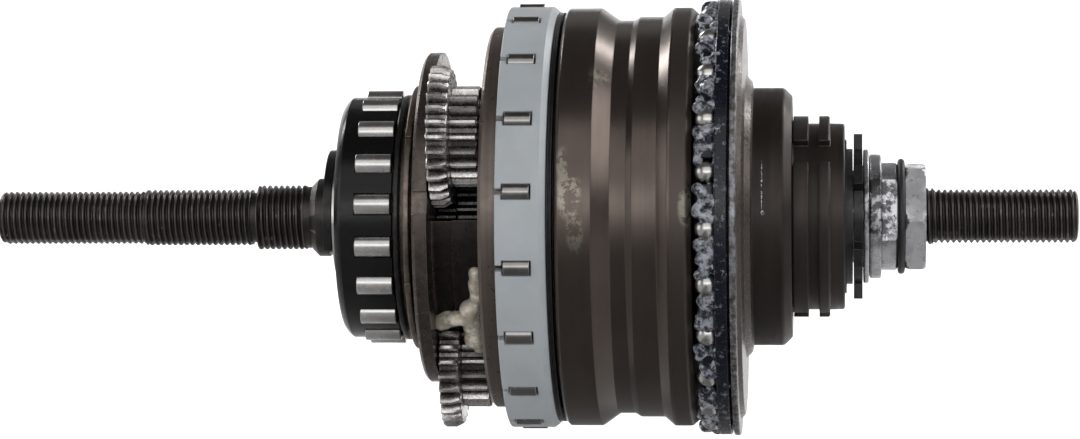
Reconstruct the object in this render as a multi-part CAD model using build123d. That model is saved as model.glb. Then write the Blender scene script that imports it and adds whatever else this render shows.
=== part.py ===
from build123d import *
from math import acos, cos, pi, radians, sin, tan
import os

# Internal gear hub of a bicycle: two stepped planetary stages on a fixed axle.
# X runs along the axle with the sprocket side at +X, Z is up, and the origin is
# the middle of the axle. All lengths are millimetres, all angles degrees.
# Angles about the axle start at +Y and turn towards +Z.

# Fits
SEAT = 0.04          # radial gap of pieces that are fixed together
RUN = 0.06           # radial gap of a running fit
SLACK = 0.3          # axial gap between pieces that turn against each other
TOUCH = 0.05         # axial gap between pieces that are stacked against each other
BACKLASH = 0.12      # taken off the tooth thickness of each meshing pair

# Axle
AXLE_R = 4.7625
AXLE_HALF = 92.0
AXLE_TIP = 0.9
FLAT_HALF = 4.25
FLAT_ANGLE = 13.0        # the flats' turn about the axle, bottom edge towards -Y
STUB_DROP = 0.2          # the flatted stubs' crests lie this far below the round thread
LEFT_THREAD_W = 19.5
LARGE_THREAD_W = 9.3
LARGE_THREAD_R = 5.5
RIGHT_THREAD_W = 1.3      # round thread that shows past the lock nut
SUN_SEAT_R = 7.0

# Pieces on the left end of the axle
COLLAR_W = 3.05
COLLAR_R = 6.65
COLLAR_CHAMFER = 1.1
CLIP_W = 1.4
CLIP_R = 11.5
CLIP_DROP = 5.6
CLIP_GROOVE_DEPTH = 0.5
CLIP_TO_CAGE = 1.6
SIDE_WASHER_W = 1.1
SIDE_WASHER_R = 11.0
SPACER_WALL = 3.0

# Left roller clutch
CLUTCH_ROLLERS = 18
CLUTCH_RELEASE = 8.0       # a cam flat's middle lies this far past its roller
CLUTCH_LIFT = 0.03         # gap of a resting roller over its cam flat
POCKET_PLAY = 0.12
LEFT_ROLLER_R = 1.9
LEFT_ROLLER_W = 6.0
LEFT_TRACK_R = 21.6
LEFT_ROLLER_ANGLE = 174.0
LEFT_CAGE_RIM = 2.4
LEFT_CAGE_CONE_R = 1.3
LEFT_CAGE_CONE_W = 1.2
LEFT_CAGE_FRONT = 3.6
LEFT_CAGE_WALL = 2.3
LEFT_CAGE_BORE_R = 12.6
CAGE_PLAY = 0.25
LEFT_PLATE_W = 0.9
LEFT_PLATE_R = 20.9
LEFT_PLATE_GAP = 0.4
SPRING_W = 1.05
SPRING_WALL = 3.4
SPRING_TO_FLANGE = 1.05
SPRING_TAB = 0.35
SPRING_TAB_W = 1.7
SPRING_TAB_ANGLES = (142.0, 211.0)

# Gear teeth
PRESSURE = 25.0
ADDENDUM = 0.9
DEDENDUM = 1.22
MODULE_A = 48.0 / 63.0
MODULE_B = 0.8
PLANETS = 3

# Overdrive stage: suns 34, 43 and 48, planet steps 29, 20 and 15, ring 78
PLANET_A_TEETH = (29, 20, 15)
SUN_A_TEETH = (34, 43, 48)
RING_A_TEETH = 78
PLANET_A_ANGLE = 146.4
PLANET_A_X = -14.95
PLANET_A_WIDTHS = (3.4, 4.65, 6.0)
PLANET_A_BEVEL = 0.9
PIN_A_R = 2.45

# Reduction stage: sun 31, planet steps 14 and 30, ring 75 in the drum
PLANET_B_TEETH = (14, 30)
SUN_B_TEETH = 31
RING_B_TEETH = 75
PLANET_B_ANGLE = 206.4
PLANET_B_HUB_R = 4.3
PLANET_B_HUB_W = 4.7
PLANET_B_WIDTHS = (5.8, 7.2)
PIN_B_R = 2.0

# Pawls between the axle and the suns
RATCHETS = 12
RATCHET_DEPTH = 1.0
RATCHET_W = 1.8
PAWL_W = 1.6
PAWL_DEPTH = 1.7
PAWL_LIFT = 0.75
PAWL_INSET = 0.4

# Planet carrier
FLANGE_EDGE = 1.65
FLANGE_W = 2.5
FLANGE_GAP = 0.2
FLANGE_CHAMFER = 0.5
FLANGE_NOTCH_ANGLE = 175.2
FLANGE_NOTCH_W = 3.7
FLANGE_NOTCH_DEPTH = 0.9
CARRIER_TUBE_WALL = 4.94
CARRIER_HUB_R = 19.4
CARRIER_HUB_W = 3.0
CARRIER_BORE_R = 11.0
CARRIER_WALL = 1.0
CARRIER_END_GAP = 0.45
POST_STEP_W = 3.5
POST_WALL = 2.7
POST_LOW_WALL = 1.8
POST_CLEARANCE = 0.43
WINDOW_CLEARANCE = 2.27
PLATE_W = 1.9
END_PLATE_W = 2.2
END_PLATE_EDGE = 6.5
POST_B_INSET = 2.0
POST_B_CLEARANCE = 1.5
BOSS_WALL = 3.0
BOSS_W = 2.0
BUSH_WALL = 1.2

# Ring gear of the overdrive stage and the middle roller clutch
RING_INSET = 0.5
RING_WALL = 2.19
RING_LIP_DROP = 0.48
RING_LIP_W = 2.8
RING_CHAMFER = 0.5
RING_LAND_DEPTH = 0.25
MID_ROLLER_R = 1.6
MID_ROLLER_W = 4.3
MID_ROLLER_ANGLE = 173.5
MID_RELEASE = 6.0
MID_CAGE_FRONT = 1.3
MID_CAGE_REAR = 2.55
MID_CAGE_RIM = 2.16
MID_CAGE_BEVEL = 0.6
MID_SLIT_W = 0.95
MID_END_PLAY = 0.22
SNAP_W = 0.85
SNAP_RISE = 1.97
SNAP_DEPTH = 0.5
SNAP_GROOVE = 0.3

# Gear drum
DRUM_WALL = 2.374
DRUM_BAND_RISE = 0.6
DRUM_LAND_RISE = 2.1
DRUM_EDGE = 0.5
DRUM_SHOULDER = 0.9
DRUM_LAND_W = 5.85
DRUM_SLOPE_W = 2.95
DRUM_FLOOR_W = 2.55
DRUM_STEP_W = 1.0
DRUM_BAND_W = 4.0
DRUM_RISE_W = 1.75
DRUM_RIGHT_W = 3.95
DRUM_BORE_RELIEF = 0.42
DRUM_TEETH_LEAD = 0.2
DRUM_TEETH_TAIL = 0.6
DRUM_WEB_W = 3.25

# Hub ball ring
BALL_COUNT = 24
BALL_R = 1.985
BALL_DROP = 0.85
BALL_TO_DRUM = 2.45
BALL_ANGLE = 183.3
BALL_PLAY = 0.1
RETAINER_LEAD = 1.4
RETAINER_TAIL = 1.45
RETAINER_RISE = 1.5
RETAINER_FALL = 0.9
RETAINER_ROUND = 0.8
BAND_LEAD = 1.25
BAND_TAIL = 3.3
BAND_RISE = 0.8
BAND_GAP = 0.15

# Driver with the sprocket seat
SHOULDER_RISE = 1.0
SHOULDER_TAIL = 3.5
SPIGOT_R = 20.95
SPIGOT_WALL = 1.95
CAP_SEAT_STEP = 0.7
DRIVER_BODY_R = 21.8
DRIVER_BODY_W = 6.65
DRIVER_CHAMFER = 1.4
NECK_W = 0.2
NECK_DEPTH = 0.8
SPROCKET_SEAT_R = 17.0
SPROCKET_SEAT_W = 2.5
RING_GROOVE_DEPTH = 1.25
RING_GROOVE_W = 1.8
NOSE_W = 1.8
TAIL_W = 2.5
TAIL_STEP = 1.3
LUG_EDGE = 0.2
LUGS = 3
LUG_ANGLE = 140.0
LUG_NOTCH = 16.0
DRIVER_BORE_R = 9.0
DRIVER_POCKET_W = 5.8
DRIVER_TUBE_WALL = 3.54
DRUM_TO_TRACK = 0.65
CARRIER_TO_DRIVER = 1.0

# Right dust cap on the driver
CAP_LIP = 0.15
CAP_LIP_W = 1.1
CAP_LIP_DEPTH = 2.75
CAP_CONE_W = 0.75
CAP_CONE_DEPTH = 0.8
CAP_FACE_W = 0.2
CAP_TAIL_W = 1.05
CAP_TAIL_WALL = 1.5
CAP_TAIL_EDGE = 0.4
CAP_ROUND = 0.25
CAP_GAP = 0.1

# Right cone bearing
CONE_BALLS = 16
CONE_BALL_R = 1.6
CONE_BALL_INSET = 3.3
CONE_BALL_RISE = 3.8
CONE_BALL_PLAY = 0.07
CONE_RETAINER_LEAD = 1.0
CONE_RETAINER_TAIL = 2.5
CONE_RETAINER_RISE = 0.3
CONE_RETAINER_WALL = 0.8
CONE_LEAD = 2.0
CONE_LIP_TAIL = 2.4
CONE_LIP_W = 0.2
NECK_SHAFT_R = 7.8
SEAL_INSET = 0.55
SEAL_LIP_W = 0.85
SEAL_W = 1.0
SEAL_LIP_GAP = 0.27
SEAL_R = 11.45

# Shift ring, washer, cone body and lock nut
SHIFT_W = 1.45
SHIFT_R = 11.5
SHIFT_TAB_COUNT = 6
SHIFT_TAB_R = 13.9
SHIFT_TAB_W = 3.4
SHIFT_ANGLE = 90.0
SHIFT_GAP = 0.2
WASHER_W = 0.9
WASHER_R = 11.35
CONE_BODY_R = 10.5
CONE_BODY_W = 2.0
CONE_STEP_R = 9.1
CONE_STEP_W = 2.7
CONE_FLAT_HALF = 7.5
CONE_CHAMFER = 0.35
O_RING_R = 9.75
O_RING_W = 1.2
O_RING_BORE_R = 6.6
O_RING_ROUND = 0.5
NUT_W = 3.4
NUT_ACROSS = 17.0
NUT_ANGLE = 185.3
NUT_CHAMFER = 0.6


def at(radius, angle):
    """Point in the plane across the axle."""
    return (radius * cos(radians(angle)), radius * sin(radians(angle)))


def spread(count, start):
    """Even angles about the axle, from a first one."""
    return [start + 360.0 * k / count for k in range(count)]


def turned(points):
    """Solid of revolution about the axle from (x, radius) points."""
    outline = Plane.XZ * Polyline(*points, close=True)
    return revolve(make_face(outline), Axis.X, 360)


def turned_with_race(before, centre, radius, start, end, after):
    """Solid of revolution whose profile has a hollow ball track between two runs of points."""
    first = (centre[0] + radius * cos(radians(start)), centre[1] + radius * sin(radians(start)))
    last = (centre[0] + radius * cos(radians(end)), centre[1] + radius * sin(radians(end)))
    middle_angle = radians((start + end) / 2)
    middle = (centre[0] + radius * cos(middle_angle), centre[1] + radius * sin(middle_angle))
    edges = [
        Polyline(*before, first),
        ThreePointArc(first, middle, last),
        Polyline(last, *after, before[0]),
    ]
    return revolve(make_face(Plane.XZ * Curve(edges)), Axis.X, 360)


def tube(x, width, radius, bore):
    """Plain ring along the axle."""
    ring = Plane.YZ.offset(x) * (Circle(radius) - Circle(bore))
    return extrude(ring, amount=width)


def rod(x, width, radius, orbit=0.0, angle=0.0):
    """Round bar along the axle, centred at an orbit radius and angle."""
    disc = Plane.YZ.offset(x) * (Pos(*at(orbit, angle)) * Circle(radius))
    return extrude(disc, amount=width)


def radial_block(x, width, inner, outer, thickness, angle):
    """Block along the axle that stands between two radii, at an angle."""
    block = Box(width, outer - inner, thickness)
    return Rot(angle, 0, 0) * Pos(x + width / 2, (inner + outer) / 2, 0) * block


def involute(angle):
    return tan(angle) - angle


def gear_face(teeth, module, low, high, thickness, phase):
    """Outline of a toothed wheel. One tooth is centred on the phase angle."""
    pitch = teeth * module / 2
    base = pitch * cos(radians(PRESSURE))

    def half(radius):
        local = acos(base / max(radius, base))
        return (thickness / (2 * pitch) + involute(radians(PRESSURE)) - involute(local)) * 180 / pi

    middle = (low + high) / 2
    edges = []
    for centre in spread(teeth, phase):
        rising = [at(r, centre - half(r)) for r in (low, middle, high)]
        falling = [at(r, centre + half(r)) for r in (high, middle, low)]
        following = at(low, centre + 360.0 / teeth - half(low))
        edges.append(ThreePointArc(*rising))
        edges.append(Line(rising[-1], falling[0]))
        edges.append(ThreePointArc(*falling))
        edges.append(Line(falling[-1], following))
    return make_face(Curve(edges))


def gear(teeth, module, x, width, phase):
    """External gear blank with its teeth and no bore."""
    pitch = teeth * module / 2
    thickness = (pi * module - BACKLASH) / 2
    face = gear_face(teeth, module, pitch - DEDENDUM * module, pitch + ADDENDUM * module, thickness, phase)
    return extrude(Plane.YZ.offset(x) * face, amount=width)


def ring_cut(teeth, module, x, width, phase):
    """Space inside an internal gear whose tooth is centred on the phase angle."""
    pitch = teeth * module / 2
    thickness = (pi * module + BACKLASH) / 2
    low = pitch - ADDENDUM * module
    high = pitch + DEDENDUM * module
    face = gear_face(teeth, module, low, high, thickness, phase + 180.0 / teeth)
    return extrude(Plane.YZ.offset(x) * face, amount=width)


def planet_phase(sun_teeth, planet_teeth, angle):
    """Tooth angle of a planet step that meshes with a sun whose tooth is at 0 degrees."""
    return angle + 180.0 - (180.0 - sun_teeth * angle) / planet_teeth


def ring_phase(ring_teeth, planet_teeth, angle, phase):
    """Tooth angle of an internal gear that meshes with a planet step."""
    return angle - (180.0 + planet_teeth * (angle - phase)) / ring_teeth


# Radii and orbits that several pieces share
orbit_a = MODULE_A * (SUN_A_TEETH[0] + PLANET_A_TEETH[0]) / 2
orbit_b = MODULE_B * (SUN_B_TEETH + PLANET_B_TEETH[0]) / 2
angles_a = spread(PLANETS, PLANET_A_ANGLE)
angles_b = spread(PLANETS, PLANET_B_ANGLE)
planet_a_tip = (PLANET_A_TEETH[0] / 2 + ADDENDUM) * MODULE_A
planet_b_tip = (PLANET_B_TEETH[1] / 2 + ADDENDUM) * MODULE_B
sun_a_tip = (SUN_A_TEETH[2] / 2 + ADDENDUM) * MODULE_A
ring_a_root = (RING_A_TEETH / 2 + DEDENDUM) * MODULE_A
ring_b_root = (RING_B_TEETH / 2 + DEDENDUM) * MODULE_B
ring_a_blank = ring_a_root - 8 * MODULE_A
ring_b_blank = ring_b_root - 8 * MODULE_B
ring_land_r = ring_a_root + RING_LAND_DEPTH
stub_r = AXLE_R - STUB_DROP
clip_groove_r = LARGE_THREAD_R - CLIP_GROOVE_DEPTH
spacer_r = SUN_SEAT_R + SPACER_WALL
carrier_tube_r = SUN_SEAT_R + RUN + CARRIER_TUBE_WALL
spring_r = CARRIER_HUB_R + SPRING_WALL
flange_r = orbit_a + PIN_A_R + FLANGE_EDGE
post_bore_r = sun_a_tip + POST_CLEARANCE
post_r = post_bore_r + POST_WALL
post_low_r = post_bore_r + POST_LOW_WALL
window_r = planet_a_tip + WINDOW_CLEARANCE
end_plate_r = orbit_b + PIN_B_R + END_PLATE_EDGE
post_b_bore_r = orbit_b + POST_B_INSET
bush_r = AXLE_R + RUN + BUSH_WALL
boss_r = bush_r + BOSS_WALL
pawl_foot_r = SUN_SEAT_R - PAWL_DEPTH
left_roller_orbit = LEFT_TRACK_R - LEFT_ROLLER_R
left_cam_flat = left_roller_orbit * cos(radians(CLUTCH_RELEASE)) - LEFT_ROLLER_R - CLUTCH_LIFT
left_cage_bore = left_cam_flat / cos(pi / CLUTCH_ROLLERS) + CAGE_PLAY
left_cage_r = left_cage_bore + LEFT_CAGE_RIM
mid_cam_flat = ring_a_root + RING_WALL
mid_roller_orbit = (mid_cam_flat + MID_ROLLER_R + CLUTCH_LIFT) / cos(radians(MID_RELEASE))
mid_cage_bore = mid_cam_flat / cos(pi / CLUTCH_ROLLERS) + CAGE_PLAY
mid_cage_r = mid_cage_bore + MID_CAGE_RIM
ring_r = mid_cam_flat - RING_LIP_DROP
snap_rim_r = mid_cam_flat - 2 * TOUCH
snap_bore_r = snap_rim_r - SNAP_DEPTH
snap_r = mid_cam_flat + SNAP_RISE
drum_floor_r = ring_b_root + DRUM_WALL
drum_band_r = drum_floor_r + DRUM_BAND_RISE
drum_land_r = drum_floor_r + DRUM_LAND_RISE
drum_bore_r = ring_b_root + DRUM_BORE_RELIEF
ball_orbit = drum_land_r - BALL_DROP
race_r = BALL_R + BALL_PLAY
shoulder_r = ball_orbit + SHOULDER_RISE
retainer_r = ball_orbit + RETAINER_RISE
retainer_bore_r = ball_orbit - RETAINER_FALL
band_r = retainer_r + BAND_RISE
cap_r = band_r + CAP_LIP
cap_seat_r = DRIVER_BODY_R + CAP_SEAT_STEP
driver_tube_r = bush_r + SEAT + DRIVER_TUBE_WALL
cone_ball_orbit = NECK_SHAFT_R + CONE_BALL_RISE
cup_r = CONE_BALL_R + CONE_BALL_PLAY
seal_lip_r = cone_ball_orbit + cup_r - SEAL_LIP_GAP
nut_corner_r = NUT_ACROSS / 2 / cos(pi / 6)

# Places along the axle, worked out to the left of the overdrive planets
flange_end_x = PLANET_A_X - FLANGE_GAP
flange_x = flange_end_x - FLANGE_W
spring_x = flange_x - SPRING_TO_FLANGE - SPRING_W
hub_step_x = flange_x - CARRIER_HUB_W
hub_wall_x = hub_step_x + CARRIER_WALL
left_plate_x = hub_step_x - TOUCH - LEFT_PLATE_W
left_roller_end = left_plate_x - LEFT_PLATE_GAP
left_roller_x = left_roller_end - LEFT_ROLLER_W
left_cage_x = left_roller_x - LEFT_CAGE_FRONT
tube_x = left_cage_x + LEFT_CAGE_WALL + CAGE_PLAY * 2
clip_end_x = left_cage_x - CLIP_TO_CAGE
clip_x = clip_end_x - CLIP_W
collar_x = clip_x - TOUCH - COLLAR_W
large_thread_x = collar_x - LARGE_THREAD_W
left_flats_x = large_thread_x - LEFT_THREAD_W

# Places along the axle, worked out to the right of the overdrive planets
planet_a_mid_x = PLANET_A_X + PLANET_A_WIDTHS[0]
planet_a_small_x = planet_a_mid_x + PLANET_A_WIDTHS[1]
planet_a_end = planet_a_small_x + PLANET_A_WIDTHS[2]
plate_x = planet_a_end + CARRIER_END_GAP
plate_end = plate_x + PLATE_W
hub_b_x = plate_end + CARRIER_END_GAP
small_b_x = hub_b_x + PLANET_B_HUB_W
large_b_x = small_b_x + PLANET_B_WIDTHS[0]
planet_b_end = large_b_x + PLANET_B_WIDTHS[1]
end_plate_x = planet_b_end + CARRIER_END_GAP
end_plate_end = end_plate_x + END_PLATE_W
boss_end = end_plate_end + BOSS_W
sun_seat_x = large_b_x - SLACK
sun_a_x = (PLANET_A_X, planet_a_mid_x + SLACK, planet_a_small_x + SLACK)
sun_a_w = (PLANET_A_WIDTHS[0] - SLACK, PLANET_A_WIDTHS[1] - 1.5 * SLACK, PLANET_A_WIDTHS[2] * 0.6)
sun_b_x = small_b_x + TOUCH
sun_b_w = PLANET_B_WIDTHS[0] - 2 * SLACK
ring_x = planet_a_small_x + RING_INSET
ring_teeth_end = plate_x - RUN - SLACK / 2
ring_lip_x = ring_x + RING_LIP_W
mid_cage_x = ring_lip_x + SLACK
mid_roller_x = mid_cage_x + MID_CAGE_FRONT
mid_cage_end = mid_roller_x + MID_ROLLER_W + MID_CAGE_REAR
snap_x = mid_cage_end + 2 * TOUCH
snap_end = snap_x + SNAP_W
ring_end = snap_end + SLACK / 2
drum_x = ring_end + SLACK
drum_slope_x = drum_x + DRUM_LAND_W
drum_floor_x = drum_slope_x + DRUM_SLOPE_W
drum_step_x = drum_floor_x + DRUM_FLOOR_W
drum_band_x = drum_step_x + DRUM_STEP_W
drum_rise_x = drum_band_x + DRUM_BAND_W
drum_right_x = drum_rise_x + DRUM_RISE_W
drum_end = drum_right_x + DRUM_RIGHT_W
drum_teeth_x = large_b_x - DRUM_TEETH_LEAD
drum_teeth_end = planet_b_end + DRUM_TEETH_TAIL
drum_web_x = drum_end - DRUM_WEB_W
driver_x = boss_end + CARRIER_TO_DRIVER
driver_pocket_x = driver_x + DRIVER_POCKET_W
track_x = drum_end + DRUM_TO_TRACK
ball_x = drum_end + BALL_TO_DRUM
retainer_x = ball_x - RETAINER_LEAD
retainer_finger_x = ball_x + RETAINER_TAIL
band_x = ball_x + BAND_LEAD
band_end = ball_x + BAND_TAIL
shoulder_end = ball_x + SHOULDER_TAIL
cap_x = shoulder_end + CAP_GAP
cap_rim_x = cap_x + CAP_LIP_W
cap_cone_x = cap_rim_x + CAP_CONE_W
cap_tail_x = cap_cone_x + CAP_FACE_W
cap_end = cap_tail_x + CAP_TAIL_W
driver_body_x = cap_end + TOUCH
driver_body_end = driver_body_x + DRIVER_BODY_W
sprocket_seat_x = driver_body_end + NECK_W
seat_end = sprocket_seat_x + SPROCKET_SEAT_W
groove_end = seat_end + RING_GROOVE_W
nose_end = groove_end + NOSE_W
tail_end = nose_end + TAIL_W
cone_ball_x = tail_end - CONE_BALL_INSET
cone_start_x = cone_ball_x - CONE_LEAD
cone_lip_x = cone_ball_x + CONE_LIP_TAIL
seal_x = tail_end - SEAL_INSET
seal_step_x = seal_x + SEAL_LIP_W
seal_end = seal_step_x + SEAL_W
shift_x = seal_end + SHIFT_GAP
washer_x = shift_x + SHIFT_W + 3 * TOUCH
cone_body_x = washer_x + WASHER_W + 2 * TOUCH
cone_step_x = cone_body_x + CONE_BODY_W
cone_end = cone_step_x + CONE_STEP_W
o_ring_x = cone_end + TOUCH
nut_x = o_ring_x + O_RING_W + TOUCH
nut_end = nut_x + NUT_W
right_flats_x = nut_end + RIGHT_THREAD_W


# Angle of each sun's pawl, by the sun's teeth
pawl_angles = {34: 60.0, 43: 150.0, 48: 240.0, 31: 330.0}


def axle():
    """Stepped axle with a thick thread, the sun seat, two flatted stubs and four pawl pockets."""
    body = turned([
        (-AXLE_HALF, 0),
        (-AXLE_HALF, stub_r - AXLE_TIP),
        (-AXLE_HALF + AXLE_TIP, stub_r),
        (left_flats_x, stub_r),
        (left_flats_x, AXLE_R),
        (large_thread_x, AXLE_R),
        (large_thread_x, LARGE_THREAD_R),
        (clip_x, LARGE_THREAD_R),
        (clip_x, clip_groove_r),
        (clip_end_x, clip_groove_r),
        (clip_end_x, SUN_SEAT_R),
        (sun_seat_x, SUN_SEAT_R),
        (sun_seat_x, AXLE_R),
        (right_flats_x, AXLE_R),
        (right_flats_x, stub_r),
        (AXLE_HALF - AXLE_TIP, stub_r),
        (AXLE_HALF, stub_r - AXLE_TIP),
        (AXLE_HALF, 0),
    ])
    for start, end in ((-AXLE_HALF, left_flats_x), (right_flats_x, AXLE_HALF)):
        for side in (1, -1):
            depth = AXLE_R
            flat = Pos((start + end) / 2, 0, side * (FLAT_HALF + depth / 2)) * \
                Box(end - start, 4 * AXLE_R, depth)
            body -= Rot(-FLAT_ANGLE, 0, 0) * flat
    for teeth, (x, width) in pawl_places().items():
        body -= radial_block(x - TOUCH, width + 2 * TOUCH, pawl_foot_r - TOUCH, SUN_SEAT_R + 1,
                             PAWL_W + 2 * TOUCH, pawl_angles[teeth])
    return body


def pawl_places():
    """Axial start and length of each sun's pawl, inside the sun's width."""
    places = {t: (x + PAWL_INSET, w - 2 * PAWL_INSET) for t, x, w in zip(SUN_A_TEETH, sun_a_x, sun_a_w)}
    places[SUN_B_TEETH] = (sun_b_x + PAWL_INSET, sun_b_w - 2 * PAWL_INSET)
    return places


def pawl(teeth, raised):
    x, width = pawl_places()[teeth]
    top = SUN_SEAT_R + (PAWL_LIFT if raised else -SEAT * 2)
    outline = Polyline((pawl_foot_r, -PAWL_W / 2), (top, -PAWL_W / 2), (top - 0.5, PAWL_W / 2),
                       (pawl_foot_r, PAWL_W / 2), close=True)
    solid = extrude(Plane.YZ.offset(x) * make_face(outline), amount=width)
    return Rot(pawl_angles[teeth], 0, 0) * solid


def left_collar():
    end = clip_x - TOUCH
    return turned([
        (collar_x, LARGE_THREAD_R + SEAT),
        (collar_x, COLLAR_R - COLLAR_CHAMFER / 2),
        (collar_x + COLLAR_CHAMFER, COLLAR_R),
        (end, COLLAR_R),
        (end, LARGE_THREAD_R + SEAT),
    ])


def left_clip():
    bore = clip_groove_r + SEAT
    plate = tube(clip_x + TOUCH / 2, CLIP_W - TOUCH, CLIP_R, bore)
    slot = Pos(clip_x + CLIP_W / 2, 0, -CLIP_R) * Box(2 * CLIP_W, 2 * bore, 2 * CLIP_R)
    feet = Pos(clip_x + CLIP_W / 2, 0, -CLIP_R - CLIP_DROP) * Box(2 * CLIP_W, 4 * CLIP_R, 2 * CLIP_R)
    return plate - slot - feet


def left_side_washer():
    return tube(clip_end_x + TOUCH, SIDE_WASHER_W, SIDE_WASHER_R, SUN_SEAT_R + SEAT)


def left_spacer():
    start = clip_end_x + 2 * TOUCH + SIDE_WASHER_W
    return tube(start, tube_x - SLACK - start, spacer_r, SUN_SEAT_R + SEAT)


def sun(teeth, module, x, width, fit, phase=0.0):
    """Sun gear with ratchet notches in its bore, one of them over its pawl."""
    blank = gear(teeth, module, x, width, phase)
    blank -= rod(x, width, SUN_SEAT_R + fit)
    notches = [
        radial_block(x, width, SUN_SEAT_R - 1, SUN_SEAT_R + RATCHET_DEPTH, RATCHET_W, angle)
        for angle in spread(RATCHETS, pawl_angles[teeth])
    ]
    return blank - notches


def stage_a_sun(step, fit):
    return sun(SUN_A_TEETH[step], MODULE_A, sun_a_x[step], sun_a_w[step], fit)


def sun_spacers():
    """Two sleeves that keep the suns in place along the axle."""
    left = hub_wall_x + SLACK
    right = sun_a_x[2] + sun_a_w[2] + TOUCH
    return [
        tube(left, PLANET_A_X - 2 * TOUCH - left, spacer_r, SUN_SEAT_R + SEAT),
        tube(right, sun_b_x - TOUCH - right, spacer_r, SUN_SEAT_R + SEAT),
    ]


def polygon_cam(x, width, flat, first_roller, release, bore):
    """Cam ring of a roller clutch, one flat for each roller."""
    corner = flat / cos(pi / CLUTCH_ROLLERS)
    start = first_roller + release + 180.0 / CLUTCH_ROLLERS
    points = [at(corner, angle) for angle in spread(CLUTCH_ROLLERS, start)]
    face = make_face(Polyline(*points, close=True))
    body = extrude(Plane.YZ.offset(x) * face, amount=width)
    return body - rod(x, width, bore)


def left_clutch_cam():
    start = tube_x + 4 * TOUCH
    end = left_plate_x - TOUCH
    return polygon_cam(start, end - start, left_cam_flat, LEFT_ROLLER_ANGLE, CLUTCH_RELEASE,
                       carrier_tube_r + SEAT)


def clutch_rollers(x, width, radius, orbit, first_angle):
    return [rod(x, width, radius, orbit, angle) for angle in spread(CLUTCH_ROLLERS, first_angle)]


def left_clutch_cage():
    end = left_roller_end + 2 * TOUCH
    inner = left_cage_bore
    body = turned([
        (left_cage_x, LEFT_CAGE_BORE_R),
        (left_cage_x, left_cage_r - LEFT_CAGE_CONE_R),
        (left_cage_x + LEFT_CAGE_CONE_W, left_cage_r),
        (end, left_cage_r),
        (end, inner),
        (left_cage_x + LEFT_CAGE_WALL, inner),
        (left_cage_x + LEFT_CAGE_WALL, LEFT_CAGE_BORE_R),
    ])
    width = LEFT_ROLLER_W + POCKET_PLAY + 1
    pockets = [
        radial_block(left_roller_x - POCKET_PLAY, width, inner - 1, left_cage_r + 1,
                     2 * (LEFT_ROLLER_R + POCKET_PLAY), angle)
        for angle in spread(CLUTCH_ROLLERS, LEFT_ROLLER_ANGLE)
    ]
    return body - pockets


def left_clutch_plate():
    return tube(left_plate_x, LEFT_PLATE_W, LEFT_PLATE_R, carrier_tube_r + SEAT)


def left_clutch_spring():
    body = tube(spring_x, SPRING_W, spring_r, CARRIER_HUB_R + SEAT)
    for angle in SPRING_TAB_ANGLES:
        body += radial_block(spring_x, SPRING_W, spring_r - 1, spring_r + SPRING_TAB, SPRING_TAB_W, angle)
    return body


def planet_carrier():
    body = turned([
        (tube_x, SUN_SEAT_R + RUN),
        (tube_x, carrier_tube_r),
        (hub_step_x, carrier_tube_r),
        (hub_step_x, CARRIER_HUB_R),
        (flange_x, CARRIER_HUB_R),
        (flange_x, flange_r - FLANGE_CHAMFER),
        (flange_x + FLANGE_CHAMFER, flange_r),
        (flange_end_x, flange_r),
        (flange_end_x, post_low_r),
        (flange_end_x + POST_STEP_W, post_low_r),
        (flange_end_x + POST_STEP_W, post_r),
        (plate_x, post_r),
        (plate_x, ring_land_r - RUN),
        (plate_end, ring_land_r - RUN),
        (plate_end, CARRIER_BORE_R),
        (plate_x, CARRIER_BORE_R),
        (plate_x, post_bore_r),
        (flange_end_x, post_bore_r),
        (flange_end_x, CARRIER_BORE_R),
        (hub_wall_x, CARRIER_BORE_R),
        (hub_wall_x, SUN_SEAT_R + RUN),
    ])
    windows = [rod(flange_end_x, plate_x - flange_end_x, window_r, orbit_a, a) for a in angles_a]
    body -= windows
    notches = [
        radial_block(flange_x, FLANGE_W, flange_r - FLANGE_NOTCH_DEPTH, flange_r + 1, FLANGE_NOTCH_W, a)
        for a in spread(PLANETS, FLANGE_NOTCH_ANGLE)
    ]
    body -= notches
    posts = tube(plate_end, end_plate_x - plate_end, end_plate_r, post_b_bore_r)
    gaps = [rod(plate_end, end_plate_x - plate_end, planet_b_tip + POST_B_CLEARANCE, orbit_b, a) for a in angles_b]
    body += posts - gaps
    body += turned([
        (end_plate_x, bush_r + SEAT),
        (end_plate_x, end_plate_r),
        (end_plate_end, end_plate_r),
        (end_plate_end, boss_r),
        (boss_end, boss_r),
        (boss_end, bush_r + SEAT),
    ])
    holes = [rod(flange_x - 1, plate_end - flange_x + 2, PIN_A_R + SEAT, orbit_a, a) for a in angles_a]
    holes += [rod(plate_x - 1, end_plate_end - plate_x + 2, PIN_B_R + SEAT, orbit_b, a) for a in angles_b]
    return body - holes


def planet_pins_a():
    start = flange_x - 3 * TOUCH
    return [rod(start, plate_end - start, PIN_A_R, orbit_a, a) for a in angles_a]


def planet_pins_b():
    start = plate_x + TOUCH
    return [rod(start, end_plate_end - start, PIN_B_R, orbit_b, a) for a in angles_b]


def carrier_bush():
    return tube(end_plate_x, boss_end - end_plate_x, bush_r, AXLE_R + RUN)


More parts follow.
